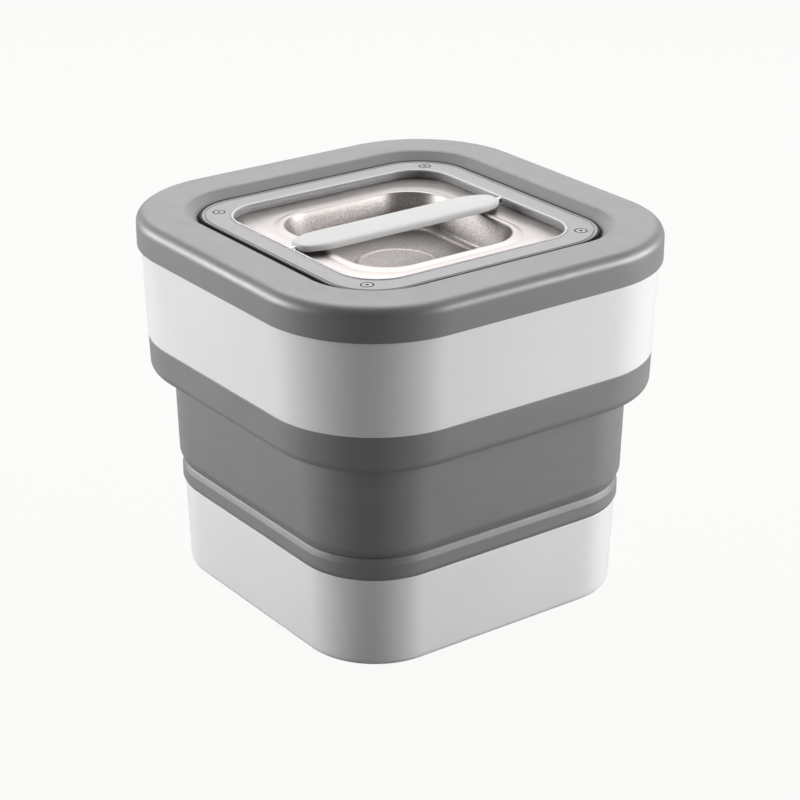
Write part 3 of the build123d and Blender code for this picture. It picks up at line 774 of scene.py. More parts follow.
@dataclass(frozen=True)
class Metal:
    """Metal with a turned, brushed or blasted skin."""

    name: str
    colour: tuple[float, float, float]
    roughness: float
    stretch: tuple[float, float, float] = (1, 1, 1)
    depth: float = 0.00001  # depth of the skin's grain, in metres
    fleck_scale: float = 1500.0
    gloss_scale: float = 35.0

    def build(self) -> bpy.types.Material:
        """Makes the material: flecked colour, cloudy gloss and a grain that follows the flecks.

        Returns:
            The material.
        """
        bench = Bench(self.name)
        fleck = bench.noise(self.fleck_scale, detail=3.0, stretch=self.stretch)
        bench.feed("Base Color", bench.shades(fleck, self.colour, 0.92, 1.06))
        gloss = bench.noise(self.gloss_scale, detail=4.0)
        bench.feed("Roughness", bench.uneven(gloss, self.roughness, 0.88, 1.12))
        bench.feed("Normal", bench.bump(fleck, self.depth))
        bench.set(Metallic=1.0)
        return bench.material


@dataclass(frozen=True)
class Pressing:
    """Thin champagne metal pressing: a satin flange, coarser grain down in its pocket and painted shade
    on the pocket's floor.
    """

    name: str
    colour: tuple[float, float, float]
    flange: float  # height above which the skin is the flange's, in metres
    bottom: float  # height of the pocket's floor, in metres
    satin: float = 0.38  # roughness of the flange
    coarse: float = 0.42  # roughness of the pocket
    sparkle: float = 0.30  # how far the pocket's grain lightens and darkens, as a share
    wall_shade: float = 1.015  # colour of the pocket's wall as a share of the flange's
    floor_painted_shade: float = 0.727  # colour of the pocket's floor as a share of the flange's, darker as painted shade
    floor_edge: float = 0.006  # how far above the floor its painted shade turns into the wall's colour, in metres
    floor_blend: float = 0.005
    grain: float = 0.00004  # depth of the pocket's grain, in metres
    flange_grain: float = 0.08  # depth of the flange's grain as a share of the pocket's
    dent: float = 0.00002  # depth of the wide dents, in metres
    fleck_scale: float = 900.0
    drift_scale: float = 30.0
    dent_scale: float = 24.0

    def build(self) -> bpy.types.Material:
        """Makes the material: the pocket's sparkle and relief fade out above the flange height, and its
        floor is darkened with painted shade.

        Returns:
            The material.
        """
        bench = Bench(self.name)
        high = bench.above(self.flange)
        fleck = bench.noise(self.fleck_scale, detail=2.0)
        still = bench.shades(bench.noise(self.drift_scale, detail=4.0), self.colour, 0.98, 1.02)
        floor, wall = (
            bench.shades(fleck, self.colour, by * (1 - self.sparkle), by * (1 + self.sparkle))
            for by in (self.floor_painted_shade, self.wall_shade)
        )
        # the pocket's floor takes painted shade up to this height, then the wall's colour
        up_wall = bench.above(self.bottom + self.floor_edge, self.floor_blend)
        bench.feed("Base Color", bench.mixed(high, bench.mixed(up_wall, floor, wall), still))
        bench.feed("Roughness", bench.between(high, self.coarse, self.satin, UNIT_ENDS))
        fading = bench.between(high, 1.0, self.flange_grain, UNIT_ENDS)
        dents = bench.bump(bench.noise(self.dent_scale, detail=1.0), self.dent)
        bench.feed("Normal", bench.bump(bench.math("MULTIPLY", fleck, fading), self.grain, dents))
        bench.set(Metallic=1.0)
        return bench.material


@dataclass(frozen=True)
class ClearPlastic:
    """Clear tinted plastic that lets the parts behind it show."""

    name: str
    colour: tuple[float, float, float]
    alpha: float
    roughness: float = 0.06
    wave: float = 0.00003  # depth of the moulding waves, in metres
    scratch_scale: float = 90.0
    wave_scale: float = 16.0

    def build(self) -> bpy.types.Material:
        """Makes the material: fine scratches in the gloss over long moulding waves.

        Returns:
            The material.
        """
        bench = Bench(self.name)
        scratch = bench.noise(self.scratch_scale, detail=6.0, stretch=(1, 5, 1))
        bench.feed("Base Color", bench.shades(scratch, self.colour, 0.95, 1.05))
        bench.feed("Roughness", bench.uneven(scratch, self.roughness, 0.7, 1.4))
        bench.feed("Normal", bench.bump(bench.noise(self.wave_scale, detail=1.0), self.wave))
        bench.set(Alpha=self.alpha, IOR=1.49, Coat_Weight=0.5, Coat_Roughness=0.03)
        return bench.material


@dataclass(frozen=True)
class Finishes:
    """Every finish of the washer, made once and shared by its pieces."""

    white: bpy.types.Material
    collar: bpy.types.Material
    elastomer: bpy.types.Material
    clear: bpy.types.Material
    clear_ring: bpy.types.Material
    bead: bpy.types.Material
    frame: bpy.types.Material
    liner: bpy.types.Material
    handle: bpy.types.Material
    steel: bpy.types.Material
    pin: bpy.types.Material
    black: bpy.types.Material
    rubber: bpy.types.Material
    matte: bpy.types.Material
    grey: bpy.types.Material
    pulsator: bpy.types.Material
    gear: bpy.types.Material
    brass: bpy.types.Material
    board: bpy.types.Material
    light: bpy.types.Material
    bracket: bpy.types.Material

    @classmethod
    def make(cls, flange: float, pocket_floor: float) -> Finishes:
        """Builds every material.

        Args:
            flange: Height in metres above which the liner's skin is the flange's.
            pocket_floor: Height in metres of the pocket's floor.

        Returns:
            The finishes.
        """
        sheen = {"specular": 1.0, "ior": 1.52}
        silvery = (0.68, 0.67, 0.68)
        finishes = dict(
            white=Moulded("glossy_white", (0.80, 0.79, 0.785), 0.3, coat=0.06, specular=0.35),
            collar=Moulded("satin_grey", (0.172, 0.171, 0.168), 0.44, grain=0.000006, **sheen),
            elastomer=Elastomer("grey_elastomer", (0.178, 0.176, 0.173), 0.52, **sheen),
            clear=ClearPlastic("clear_wall", (0.8, 0.79, 0.8), 0.24),
            clear_ring=Moulded(
                "clear_over_silver",
                (0.385, 0.373, 0.382),
                0.36,
                coat=0.12,
                specular=0.35,
                grain=0.0,
                wave=0.00001,
            ),
            bead=Moulded("polished_bead", silvery, 0.2, grain=0.0, coat=0.5),
            frame=Moulded("silver_frame", (0.70, 0.69, 0.695), 0.35),
            liner=Pressing("champagne_metal", (0.39, 0.362, 0.35), flange, pocket_floor),
            handle=Moulded(
                "handle_white", (0.70, 0.698, 0.693), 0.4, grain=0.0, wave=0.000004, specular=0.3
            ),
            steel=Metal("turned_steel", (0.25, 0.245, 0.25), 0.34, depth=0.000003),
            pin=Metal("polished_pin", silvery, 0.2, depth=0.000002),
            black=Moulded("black_moulding", (0.022, 0.022, 0.023), 0.4),
            rubber=Elastomer("dark_rubber", (0.02, 0.02, 0.02), 0.65, specular=0.15),
            matte=Moulded("matte_white", (0.66, 0.66, 0.65), 0.45),
            grey=Moulded("fitting_grey", (0.24, 0.24, 0.237), 0.4),
            pulsator=Moulded("pulsator_grey", (0.33, 0.33, 0.33), 0.28, coat=0.2),
            gear=Moulded("gear_white", (0.62, 0.61, 0.56), 0.4),
            brass=Metal("sintered_brass", (0.52, 0.36, 0.14), 0.35),
            board=Moulded("board_green", (0.01, 0.09, 0.04), 0.35),
            light=Moulded("light_ring", (0.62, 0.72, 0.78), 0.3),
            bracket=Metal("pressed_steel", (0.5, 0.5, 0.5), 0.4, stretch=(1, 8, 1)),
        )
        return cls(**{part: finish.build() for part, finish in finishes.items()})


@dataclass(frozen=True)
class Role:
    """What a piece is in the washer: its body, the node it stands for and the slot it is finished in."""

    body: Body
    node: str
    slot: str

    def take(self, piece: bpy.types.Object, finish: bpy.types.Material) -> bpy.types.Object:
        """Gives a piece its finish, sets it on its body and lets it stand for its node.

        Args:
            piece: The piece.
            finish: Its material.

        Returns:
            The same object.
        """
        dressed(piece, finish)
        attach(piece, self.body.value)
        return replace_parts(piece, self.node)


def dressed(piece: bpy.types.Object, finish: bpy.types.Material) -> bpy.types.Object:
    """Gives a piece its finish.

    Args:
        piece: The piece.
        finish: Its material.

    Returns:
        The same object.
    """
    piece.data.materials.clear()
    piece.data.materials.append(finish)
    return piece


# ---- the tub -----------------------------------------------------------------------


@dataclass
class Tub:
    """Collar, bands, shoulder, folding wall, lower ring and base of the tub, in millimetres."""

    finishes: Finishes
    sheet: float = 2.6  # thickness of the moulded walls
    wall_sheet: float = 2.2  # thickness of the folding wall
    collar_side: float = 3.0  # thickness of the collar's side
    collar_top: float = 3.2  # thickness of its top
    collar_round: float = 7.5
    slope_out: float = 10.3  # the slope's head, out from the lid's side
    slope_in: float = 1.3  # its foot, out from the lid's side
    slope_drop: float = 7.0
    slope_sheet: float = 1.6  # how much lower the underside of its foot lies
    seat_gap: float = 0.7  # between the lid's side and the seat's wall
    seat_sheet: float = 2.8
    seat_half: float = 97.5
    tongue_in: float = 3.3  # the band's tongue, in from the collar's side
    tongue_sheet: float = 2.7
    tongue_root: float = 2.0  # how far under the collar the tongue's inner side starts
    tongue_rib: float = 0.6  # how much thicker the band is there
    shadow_gap: float = 0.4  # between the band and the collar
    shoulder_round: float = 13.2
    shoulder_draft: float = 0.9
    shoulder_toe: float = 0.7  # how far the shoulder's round ends above its foot
    wall_gap: float = 0.1  # between the shoulder and the folding wall
    wall_draft: float = 1.9  # how much narrower the wall is at its foot
    wall_lip: tuple[float, float] = (5.2, 3.6)  # ends of its turned-in lip, in from its foot
    fold_foot: float = 6.0  # height of the wall's foot roll
    fold_over: float = 1.0  # how far into the shoulder the fold reaches
    ring_grip: float = 4.3  # how far in the lower ring reaches
    ring_foot: tuple[float, float] = (1.6, 2.9)  # in from its bulge, and how high the bulge starts
    ring_head: tuple[float, float] = (1.4, 4.5)  # in from its bulge, and how deep the bulge ends
    base_draft: float = 2.4
    base_round: float = 5.0
    ledge: float = 2.5  # height of the ledge over the bottom cover
    ledge_sheet: float = 2.4
    floor_half: float = 97.0
    cover_half: float = 104.0
    fitting_gap: float = 0.1  # between a fitting and its hole
    button_seat: float = 1.6  # depth of the button's seat
    inlet_seat: float = 1.2  # depth of the inlet's seat
    seat_step: tuple[float, float] = (2.0, 1.6)  # from the button's and the inlet's seat to its hole
    cut_over: float = 4.0  # how far the cutters stand out
    cut_length: float = 14.0
    collar_box: Extent = field(default_factory=lambda: Extent.of("collar"))
    band_box: Extent = field(default_factory=lambda: Extent.of("upper_band"))
    shoulder_box: Extent = field(default_factory=lambda: Extent.of("shoulder"))
    wall_box: Extent = field(default_factory=lambda: Extent.of("folding_wall"))
    ring_box: Extent = field(default_factory=lambda: Extent.of("lower_ring"))
    base_box: Extent = field(default_factory=lambda: Extent.of("base_shell"))
    lid_box: Extent = field(default_factory=lambda: Extent.of("lid_cover"))
    seal_box: Extent = field(default_factory=lambda: Extent.of("lid_seal"))

    def collar(self) -> bpy.types.Object:
        """Grey collar: a round outer edge, a flat top and a slope down to the lid's seat.

        Returns:
            The piece.
        """
        rim, foot, top = self.collar_box.high[0], self.collar_box.low[2], self.collar_box.high[2]
        lid, seat = self.lid_box.high[0], self.seal_box.low[2]
        head, toe, wall = lid + self.slope_out, lid + self.slope_in, lid + self.seat_gap
        inside, under = rim - self.collar_side, top - self.collar_top
        slope_foot, seat_under = top - self.slope_drop, seat - self.seat_sheet
        section = rounded(
            [
                (rim, foot, 0.6),
                (rim, top, self.collar_round),
                (head, top, 6),
                (toe, slope_foot, 2),
                (wall, seat, 0.5),
                (self.seat_half, seat, 0.8),
                (self.seat_half, seat_under, 0.8),
                (wall + self.seat_sheet, seat_under, 1),
                (toe + self.sheet, slope_foot - self.slope_sheet, 2),
                (head + self.sheet, under, 2),
                (inside, under, 5),
                (inside, foot, 0.5),
            ],
            steps=12,
        )
        role = Role(Body.UPPER, "collar", "grey_satin")
        return role.take(hoop("collar_skin", section), self.finishes.collar)

    def upper_band(self) -> bpy.types.Object:
        """Glossy white band under the collar, which widens a little upwards.

        Returns:
            The piece.
        """
        rim, head = self.collar_box.high[0] - self.tongue_in, self.band_box.high[0]
        foot, low, top = self.shoulder_box.high[0], self.band_box.low[2], self.collar_box.low[2]
        section = rounded(
            [
                (foot - self.sheet, low, 0),
                (foot, low, 0.5),
                (head, top - self.shadow_gap, 0.6),
                (rim, top - self.shadow_gap, 0),
                (rim, self.band_box.high[2], 0),
                (rim - self.tongue_sheet, self.band_box.high[2], 0),
                (head - self.sheet - self.tongue_rib, top - self.tongue_root, 0),
            ]
        )
        role = Role(Body.UPPER, "upper_band", "white_gloss")
        return role.take(hoop("upper_band_skin", section), self.finishes.white)

    def shoulder(self) -> bpy.types.Object:
        """Grey elastomer shoulder that rolls in from the band to the folding wall.

        Returns:
            The piece.
        """
        half, low, top = self.shoulder_box.high[0], self.shoulder_box.low[2], self.shoulder_box.high[2]
        wall, toe = self.wall_box.high[0] + self.wall_gap, low + self.shoulder_toe
        section = rounded(
            [
                (half - self.sheet, top, 0),
                (
                    half - self.sheet - self.shoulder_draft,
                    toe + self.sheet,
                    self.shoulder_round - self.sheet,
                ),
                (wall, low + self.sheet, 0.6),
                (wall, low, 0.6),
                (half - self.shoulder_draft, toe, self.shoulder_round),
                (half, top, 0.5),
            ],
            steps=16,
        )
        role = Role(Body.UPPER, "shoulder", "grey_elastomer")
        return role.take(hoop("shoulder_skin", section), self.finishes.elastomer)

    def folding_wall(self) -> bpy.types.Object:
        """Elastomer wall between the lower ring and the shoulder, which shortens as the tub folds.

        Returns:
            The piece.
        """
        low, top, head = self.wall_box.low[2], self.wall_box.high[2], self.wall_box.high[0]
        foot, roll = head - self.wall_draft, low + self.fold_foot
        section = rounded(
            [
                (foot - self.wall_lip[0], low, 0),
                (foot - self.wall_lip[1], low, 1),
                (foot, roll, 8),
                (head, top, 0.4),
                (head - self.wall_sheet, top, 0.4),
                (foot - self.wall_sheet, roll, 6),
            ],
            steps=10,
            longest=1.6,
        )
        piece = dressed(hoop("folding_wall_skin", section), self.finishes.elastomer)
        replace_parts(piece, "folding_wall")
        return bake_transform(piece)

    def lower_ring(self) -> bpy.types.Object:
        """Bulging elastomer ring that grips the base's upper edge.

        Returns:
            The piece.
        """
        half, low, top = self.ring_box.high[0], self.ring_box.low[2], self.ring_box.high[2]
        section = rounded(
            [
                (half - self.ring_grip, low, 0),
                (half - self.ring_foot[0], low, 0.5),
                (half, low + self.ring_foot[1], 3),
                (half, top - self.ring_head[1], 3),
                (half - self.ring_head[0], top, 2.2),
                (half - self.ring_grip, top, 0),
            ]
        )
        role = Role(Body.BASE, "lower_ring", "grey_elastomer")
        return role.take(hoop("lower_ring_skin", section), self.finishes.elastomer)

    def base(self) -> bpy.types.Object:
        """White base shell, bored for the button, the power inlet and the drain.

        Returns:
            The piece.
        """
        head, low, top = self.base_box.high[0], self.base_box.low[2], self.base_box.high[2]
        foot, ledge = head - self.base_draft, low + self.ledge
        section = rounded(
            [
                (self.floor_half, ledge, 0),
                (self.cover_half, ledge, 0),
                (self.cover_half, low, 0.4),
                (foot, low, self.base_round),
                (head, top, 0.5),
                (head - self.sheet, top, 0),
                (foot - self.sheet, ledge + self.ledge_sheet, self.base_round - self.sheet),
                (self.floor_half, ledge + self.ledge_sheet, 0),
            ],
            steps=12,
        )
        piece = bored(hoop("base_skin", section), self.base_cutters())
        return Role(Body.BASE, "base_shell", "white_gloss").take(piece, self.finishes.white)

    def base_cutters(self) -> list[bpy.types.Object]:
        """Round cutters for the fittings.

        The button and the inlet have a seat a little wider than their flange and a hole behind it;
        the drain has one hole a little wider than its fitting.

        Returns:
            The cutters.
        """
        bezel, drain = Extent.of("button_bezel"), Extent.of("drain_fitting")
        inlet = Extent.of("power_inlet")
        button, nozzle = (0.0, bezel.middle(2)), (0.0, drain.low[2] + drain.reach(1))
        barrel = (inlet.middle(1), inlet.middle(2))
        outside = self.base_box.high[0] + self.cut_over
        deep, gap = outside - self.cut_length, self.fitting_gap
        return [
            drum("cut_button", bezel.reach(0) - self.seat_step[0], (deep, outside), button, Axis.Y),
            drum(
                "cut_button_seat",
                bezel.reach(0) + gap,
                (bezel.high[1] - self.button_seat, outside),
                button,
                Axis.Y,
            ),
            drum("cut_drain", drain.reach(1) + gap, (-outside, -deep), nozzle, Axis.X),
            drum("cut_inlet", inlet.reach(1) - self.seat_step[1], (-outside, -deep), barrel, Axis.X),
            drum(
                "cut_inlet_seat",
                inlet.reach(1) + gap,
                (-outside, inlet.low[0] + self.inlet_seat),
                barrel,
                Axis.X,
            ),
        ]

    def build(self) -> list[bpy.types.Object]:
        """Makes every ring of the tub.

        Returns:
            The pieces, from the top down.
        """
        return [
            self.collar(),
            self.upper_band(),
            self.shoulder(),
            self.folding_wall(),
            self.lower_ring(),
            self.base(),
        ]


# ---- the lid -----------------------------------------------------------------------


@dataclass
class LidRing:
    """Silvery ring of the lid, its clear wall and bead, and dark pieces of painted shadow in the gap
    round it and in the screw recesses, in millimetres.
    """

    finishes: Finishes
    height: float = 2.9  # height of the ring's side
    lip: float = 0.1  # how far the ring's face lies under its highest edge
    groove: tuple[float, float, float, float] = (2.2, 2.7, 3.5, 4.1)  # its corners, in from the side
    groove_floor: float = 0.7
    bead_seat: tuple[float, float] = (2.6, 1.8)  # step down to the bead's seat, out from the well
    bead_floor: float = 0.3
    well_half: float = 84.5
    well_round: float = 27.0
    well_sheet: float = 2.0  # thickness of the clear wall
    well_edge: tuple[float, float] = (0.4, 0.5)  # width and depth of the ring's inner edge
    thin: float = 1.1  # thickness of the ring's plate round the well
    hollow: float = 7.0  # how far out from the well that plate goes
    fan: float = 2.4  # how far out from the well the corner centres start to move
    gap: float = 0.05  # from the clear wall or a dark recess ring of painted shade to what is next to it
    head: float = 4.4  # radius of the screws' places
    head_margin: float = 1.0  # how much more that is than the radius of the screw's head
    head_depth: float = 0.9
    shank: float = 1.6  # radius of the screws' holes
    cut_over: float = 2.0  # how far the cutters stand out of the ring
    # dark rings of painted shade in the screw recesses: their hole's radius, thickness and steps
    recess_shade_hole: float = 3.1
    recess_shade_sheet: float = 0.6
    recess_shade_steps: int = 40
    gap_shadow_in: float = 1.5  # inner face of the dark band of painted shadow in the gap to the collar, in from the ring's side
    gap_shadow_out: float = 0.4  # its outer face, out from that side
    gap_shadow_low: float = 1.3  # its foot, under the ring's top
    gap_shadow_top: float = 0.2  # its top, over the ring's
    bead_place: float = 1.0  # middle of the bead, out from the well
    bead_reach: tuple[float, float] = (0.75, 0.55)  # half width and half height of the bead
    bead_steps: int = 16
    cover_box: Extent = field(default_factory=lambda: Extent.of("lid_cover"))
    screw_box: Extent = field(default_factory=lambda: Extent.of("lid_screws"))

    def screw_spots(self) -> list[tuple[float, float]]:
        """Where the four lid screws stand.

        Returns:
            Places (x, y), in millimetres.
        """
        s = self.screw_box.high[0] - (self.head - self.head_margin)
        return [(s, s), (-s, s), (-s, -s), (s, -s)]

    def cover(self) -> bpy.types.Object:
        """Ring with a groove inside its edge, a seat for the bead and four screw places.

        Round the well it is a thin plate, so that the clear wall shows what stands under it. The
        corner centres move from the well's to the lid's as the section goes outwards.

        Returns:
            The piece.
        """
        half, top, well = self.cover_box.high[0], self.cover_box.high[2], self.well_half
        foot, face, floor = top - self.height, top - self.lip, top - self.groove_floor
        seat, plate = top - self.bead_floor, top - self.thin
        section = rounded(
            [
                (half, foot, 0.3),
                (half, face, 1.0),
                (half - self.groove[0], top, 0.4),
                (half - self.groove[1], floor, 0.3),
                (half - self.groove[2], floor, 0.3),
                (half - self.groove[3], face, 0.4),
                (well + self.bead_seat[0], face, 0.5),
                (well + self.bead_seat[1], seat, 0.5),
                (well + self.well_edge[0], seat, 0.4),
                (well, top - self.well_edge[1], 0.3),
                (well, plate, 0.3),
                (well + self.hollow, plate, 0.4),
                (well + self.hollow, foot, 0.3),
            ]
        )
        inner, outer = well + self.fan, half - self.groove[3]
        share = np.clip((section[:, 0] - inner) / (outer - inner), 0, 1)
        core = well - self.well_round
        piece = hoop("cover_ring", section, core + (CORE - core) * share)
        cutters = []
        for spot in self.screw_spots():
            over = top + self.cut_over
            cutters.append(drum("cut_head", self.head, (top - self.head_depth, over), spot))
            through = (foot - self.cut_over, over)
            cutters.append(drum("cut_shank", self.shank, through, spot, steps=24))
        bored(piece, cutters)
        return Role(Body.LID, "lid_cover", "clear_tint").take(piece, self.finishes.clear_ring)

    def well(self) -> bpy.types.Object:
        """Clear upright wall round the well, between the ring's thin plate and the liner.

        Returns:
            The piece.
        """
        inside, outside = self.well_half + self.gap, self.well_half + self.gap + self.well_sheet
        foot, top = self.cover_box.low[2] + self.gap, self.cover_box.high[2] - self.thin - self.gap
        core = self.well_half - self.well_round
        piece = hoop("well_wall", strip(inside, outside, foot, top), core)
        return Role(Body.LID, "lid_cover", "clear_tint").take(piece, self.finishes.clear)

    def edge_gasket(self) -> bpy.types.Object:
        """Dark band round the ring's side, which narrows the gap to the collar and paints the shadow in
        that gap.

        Returns:
            The piece.
        """
        half, top = self.cover_box.high[0], self.cover_box.high[2]
        inner, outer = half - self.gap_shadow_in, half + self.gap_shadow_out
        low, head = top - self.gap_shadow_low, top + self.gap_shadow_top
        # dark band round the ring's side: painted shadow of the gap between the lid and the collar
        piece = hoop("edge_gasket", strip(inner, outer, low, head, (0, 0.3, 0.4, 0.3), steps=4))
        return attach(dressed(piece, self.finishes.rubber), Body.LID.value)

    def well_bead(self) -> bpy.types.Object:
        """Polished bead round the well, on the ring: an ellipse (cos, sin) carried round the well.

        Returns:
            The piece.
        """
        t = np.linspace(0, 2 * math.pi, self.bead_steps, endpoint=False)
        middle = np.array([self.well_half + self.bead_place, self.cover_box.high[2] - self.lip])
        section = middle + np.stack([np.cos(t), np.sin(t)], 1) * self.bead_reach
        piece = hoop("well_bead", section, self.well_half - self.well_round)
        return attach(dressed(piece, self.finishes.bead), Body.LID.value)

    def recess_shade_rings(self) -> list[bpy.types.Object]:
        """Dark ring in each screw's place, round the head, painted shade of the screw recess.

        Returns:
            The washers.
        """
        foot = self.cover_box.high[2] - self.head_depth
        section = strip(self.recess_shade_hole, self.head - self.gap, foot, foot + self.recess_shade_sheet)
        shade_rings = []
        for number, spot in enumerate(self.screw_spots()):
            grid = turned(section, self.recess_shade_steps, spot)
            # dark ring: painted shade of the screw recess round the head
            shade_ring = sheet_mesh(f"recess_shade_ring_{number}", grid, round_rows=True)
            dressed(shade_ring, self.finishes.rubber)
            shade_rings.append(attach(shade_ring, Body.LID.value))
        return shade_rings


@dataclass
class Liner:
    """Pressed metal liner of the lid, with its finger pocket, in millimetres."""

    finishes: Finishes
    sheet: float = LINER_SHEET / MM
    pocket_half: float = 62.0
    pocket_core: float = 32.0
    pocket_foot: float = 55.0
    rim: tuple[float, float, float] = (4.6, 1.6, -0.6)  # its foot and its crest, out from the pocket
    floor_run: float = 9.0  # how far in the floor keeps the pocket's rounded square
    boss: float = 26.0
    boss_steps: tuple[tuple[float, float], ...] = (  # the boss's section: out from its side, height
        (4.0, 0.0),
        (1.9, 0.0),
        (1.4, 0.5),
        (0.6, 0.6),
        (0.1, 0.3),
        (-0.4, 0.05),
        (-2.0, 0.0),
        (-12.0, 0.0),
        (-23.0, 0.0),
    )
    bridge: tuple[float, float] = (0.33, 0.67)  # shares of the way from the pocket to the boss
    liner_box: Extent = field(default_factory=lambda: Extent.of("lid_liner"))
    cover_box: Extent = field(default_factory=lambda: Extent.of("lid_cover"))

    def build(self) -> bpy.types.Object:
        """Flat flange, rolled rim and the finger pocket with its round boss.

        Below the pocket's rim the corner centres are the pocket's, outside it they move out to the
        lid's; the floor's rings turn from the rounded square into the boss's circles.

        Returns:
            The piece.
        """
        half, rim, flange = self.liner_box.high[0], self.liner_box.high[2], self.cover_box.low[2]
        floor = self.liner_box.low[2] + self.sheet
        slope = rounded(
            [
                (half, flange, 0),
                (self.pocket_half + self.rim[0], flange, 1.6),
                (self.pocket_half + self.rim[1], rim, 1.6),
                (self.pocket_half + self.rim[2], rim, 1.2),
                (self.pocket_foot, floor, 7),
                (self.pocket_foot - self.floor_run, floor, 0),
            ],
            closed=False,
            steps=12,
        )
        share = np.clip((slope[:, 0] - self.pocket_half) / (half - self.pocket_half), 0, 1)
        core = self.pocket_core + (CORE - self.pocket_core) * share
        skirt = carried(slope, core, arc_steps=24, side_steps=16)
        ring = skirt[-1]
        angle = np.arctan2(ring[:, 1], ring[:, 0])
        circle = np.stack([np.cos(angle), np.sin(angle), np.zeros_like(angle)], 1)
        steps = np.array(self.boss_steps) + (self.boss, floor)
        rings = circle[None] * steps[:, 0, None, None] * MM
        rings = rings + np.array([0, 0, MM]) * steps[:, 1, None, None]
        bridge = ring + (rings[:1] - ring) * np.array(self.bridge)[:, None, None]
        grid = np.concatenate([skirt, bridge, rings])
        piece = facing_up(sheet_mesh("liner_pressing", grid, poles=(-1,)))
        wall = piece.modifiers.new("sheet", "SOLIDIFY")
        wall.thickness, wall.offset = self.sheet * MM, -1.0
        return Role(Body.LID, "lid_liner", "liner_metal").take(piece, self.finishes.liner)


@dataclass
class Handle:
    """White bar handle over the pocket, in millimetres."""

    finishes: Finishes
    taper: float = 24.0  # length over which the bar closes in towards each tip
    nose: float = 6.0  # length of the tip's round from above
    brow: float = 3.0  # length of the tip's round from the side
    narrowing: float = 0.52  # share of its width that it loses on the way to a tip
    thinning: float = 0.18  # share of its height
    nose_power: float = 2.4  # powers of the rounds' superellipses
    brow_power: float = 2.2
    across_power: float = 6.0  # powers of the section's superellipse
    up_power: float = 4.5
    crowding: float = 1.6  # how much closer the sections stand near the tips
    sections: int = 121
    round_steps: int = 72
    box: Extent = field(default_factory=lambda: Extent.of("lid_handle"))

    def near_tip(self, place: np.ndarray, length: float) -> np.ndarray:
        """How far into the last stretch before a tip a place lies.

        Args:
            place: Places along the bar, in millimetres.
            length: Length of the stretch.

        Returns:
            0 before the stretch, 1 at the tip.
        """
        return np.clip((np.abs(place) - (self.box.high[1] - length)) / length, 0, 1)

    def build(self) -> bpy.types.Object:
        """Bar of a rounded section whose width closes in towards both pointed tips.

        A point is (width(s) * across(t), s, middle + height(s) * up(t)), where s runs along the bar
        and (across, up) is a superellipse.

        Returns:
            The piece.
        """
        end, side = self.box.high[1], self.box.high[0]
        swing = np.linspace(-math.pi / 2, math.pi / 2, self.sections)[1:-1]
        place = np.sign(swing) * (1 - (1 - np.abs(np.sin(swing))) ** self.crowding) * end
        taper = self.near_tip(place, self.taper) ** 2
        nose = 1 - self.near_tip(place, self.nose) ** self.nose_power
        brow = 1 - self.near_tip(place, self.brow) ** self.brow_power
        width = side * (1 - self.narrowing * taper) * nose ** (1 / self.nose_power)
        tall = self.box.reach(2) * (1 - self.thinning * taper) * brow ** (1 / self.brow_power)
        t = np.linspace(0, 2 * math.pi, self.round_steps, endpoint=False)
        across = np.sign(np.cos(t)) * np.abs(np.cos(t)) ** (2 / self.across_power)
        up = np.sign(np.sin(t)) * np.abs(np.sin(t)) ** (2 / self.up_power)
        length = np.broadcast_to(place[:, None], (len(place), len(t)))
        height = self.box.middle(2) + tall[:, None] * up
        grid = np.stack([width[:, None] * across, length, height], -1) * MM
        piece = sheet_mesh("handle_bar", grid, poles=(0, -1))
        return Role(Body.LID, "lid_handle", "handle_white").take(piece, self.finishes.handle)


@dataclass
class Lid:
    """Lift-out lid: the ring over its silver frame, the metal liner and the bar handle."""

    finishes: Finishes

    def build(self) -> list[bpy.types.Object]:
        """Makes the lid's pieces.

        Returns:
            The pieces.
        """
        ring = LidRing(self.finishes)
        return [
            ring.cover(),
            ring.well(),
            Liner(self.finishes).build(),
            Handle(self.finishes).build(),
            ring.edge_gasket(),
            ring.well_bead(),
            *ring.recess_shade_rings(),
        ]


# ---- the fittings and the drive ----------------------------------------------------


@dataclass(frozen=True)
class Fitting:
    """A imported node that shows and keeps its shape, with the finish and the slot that it takes."""

    node: str
    finish: bpy.types.Material
    slot: str

    def build(self) -> bpy.types.Object:
        """Dresses a smooth copy of the node."""
        return dressed(merged_copy(self.node), self.finish)


@dataclass(frozen=True)
class Inner:
    """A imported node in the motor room, with the finish that it takes."""

    node: str
    finish: bpy.types.Material

    def build(self) -> bpy.types.Object:
        """Dresses the node itself.

        Returns:
            The node's object.
        """
        node = bpy.data.objects[self.node]
        for slot in node.material_slots:
            slot.material = self.finish
        if not node.material_slots:
            node.data.materials.append(self.finish)
        return node


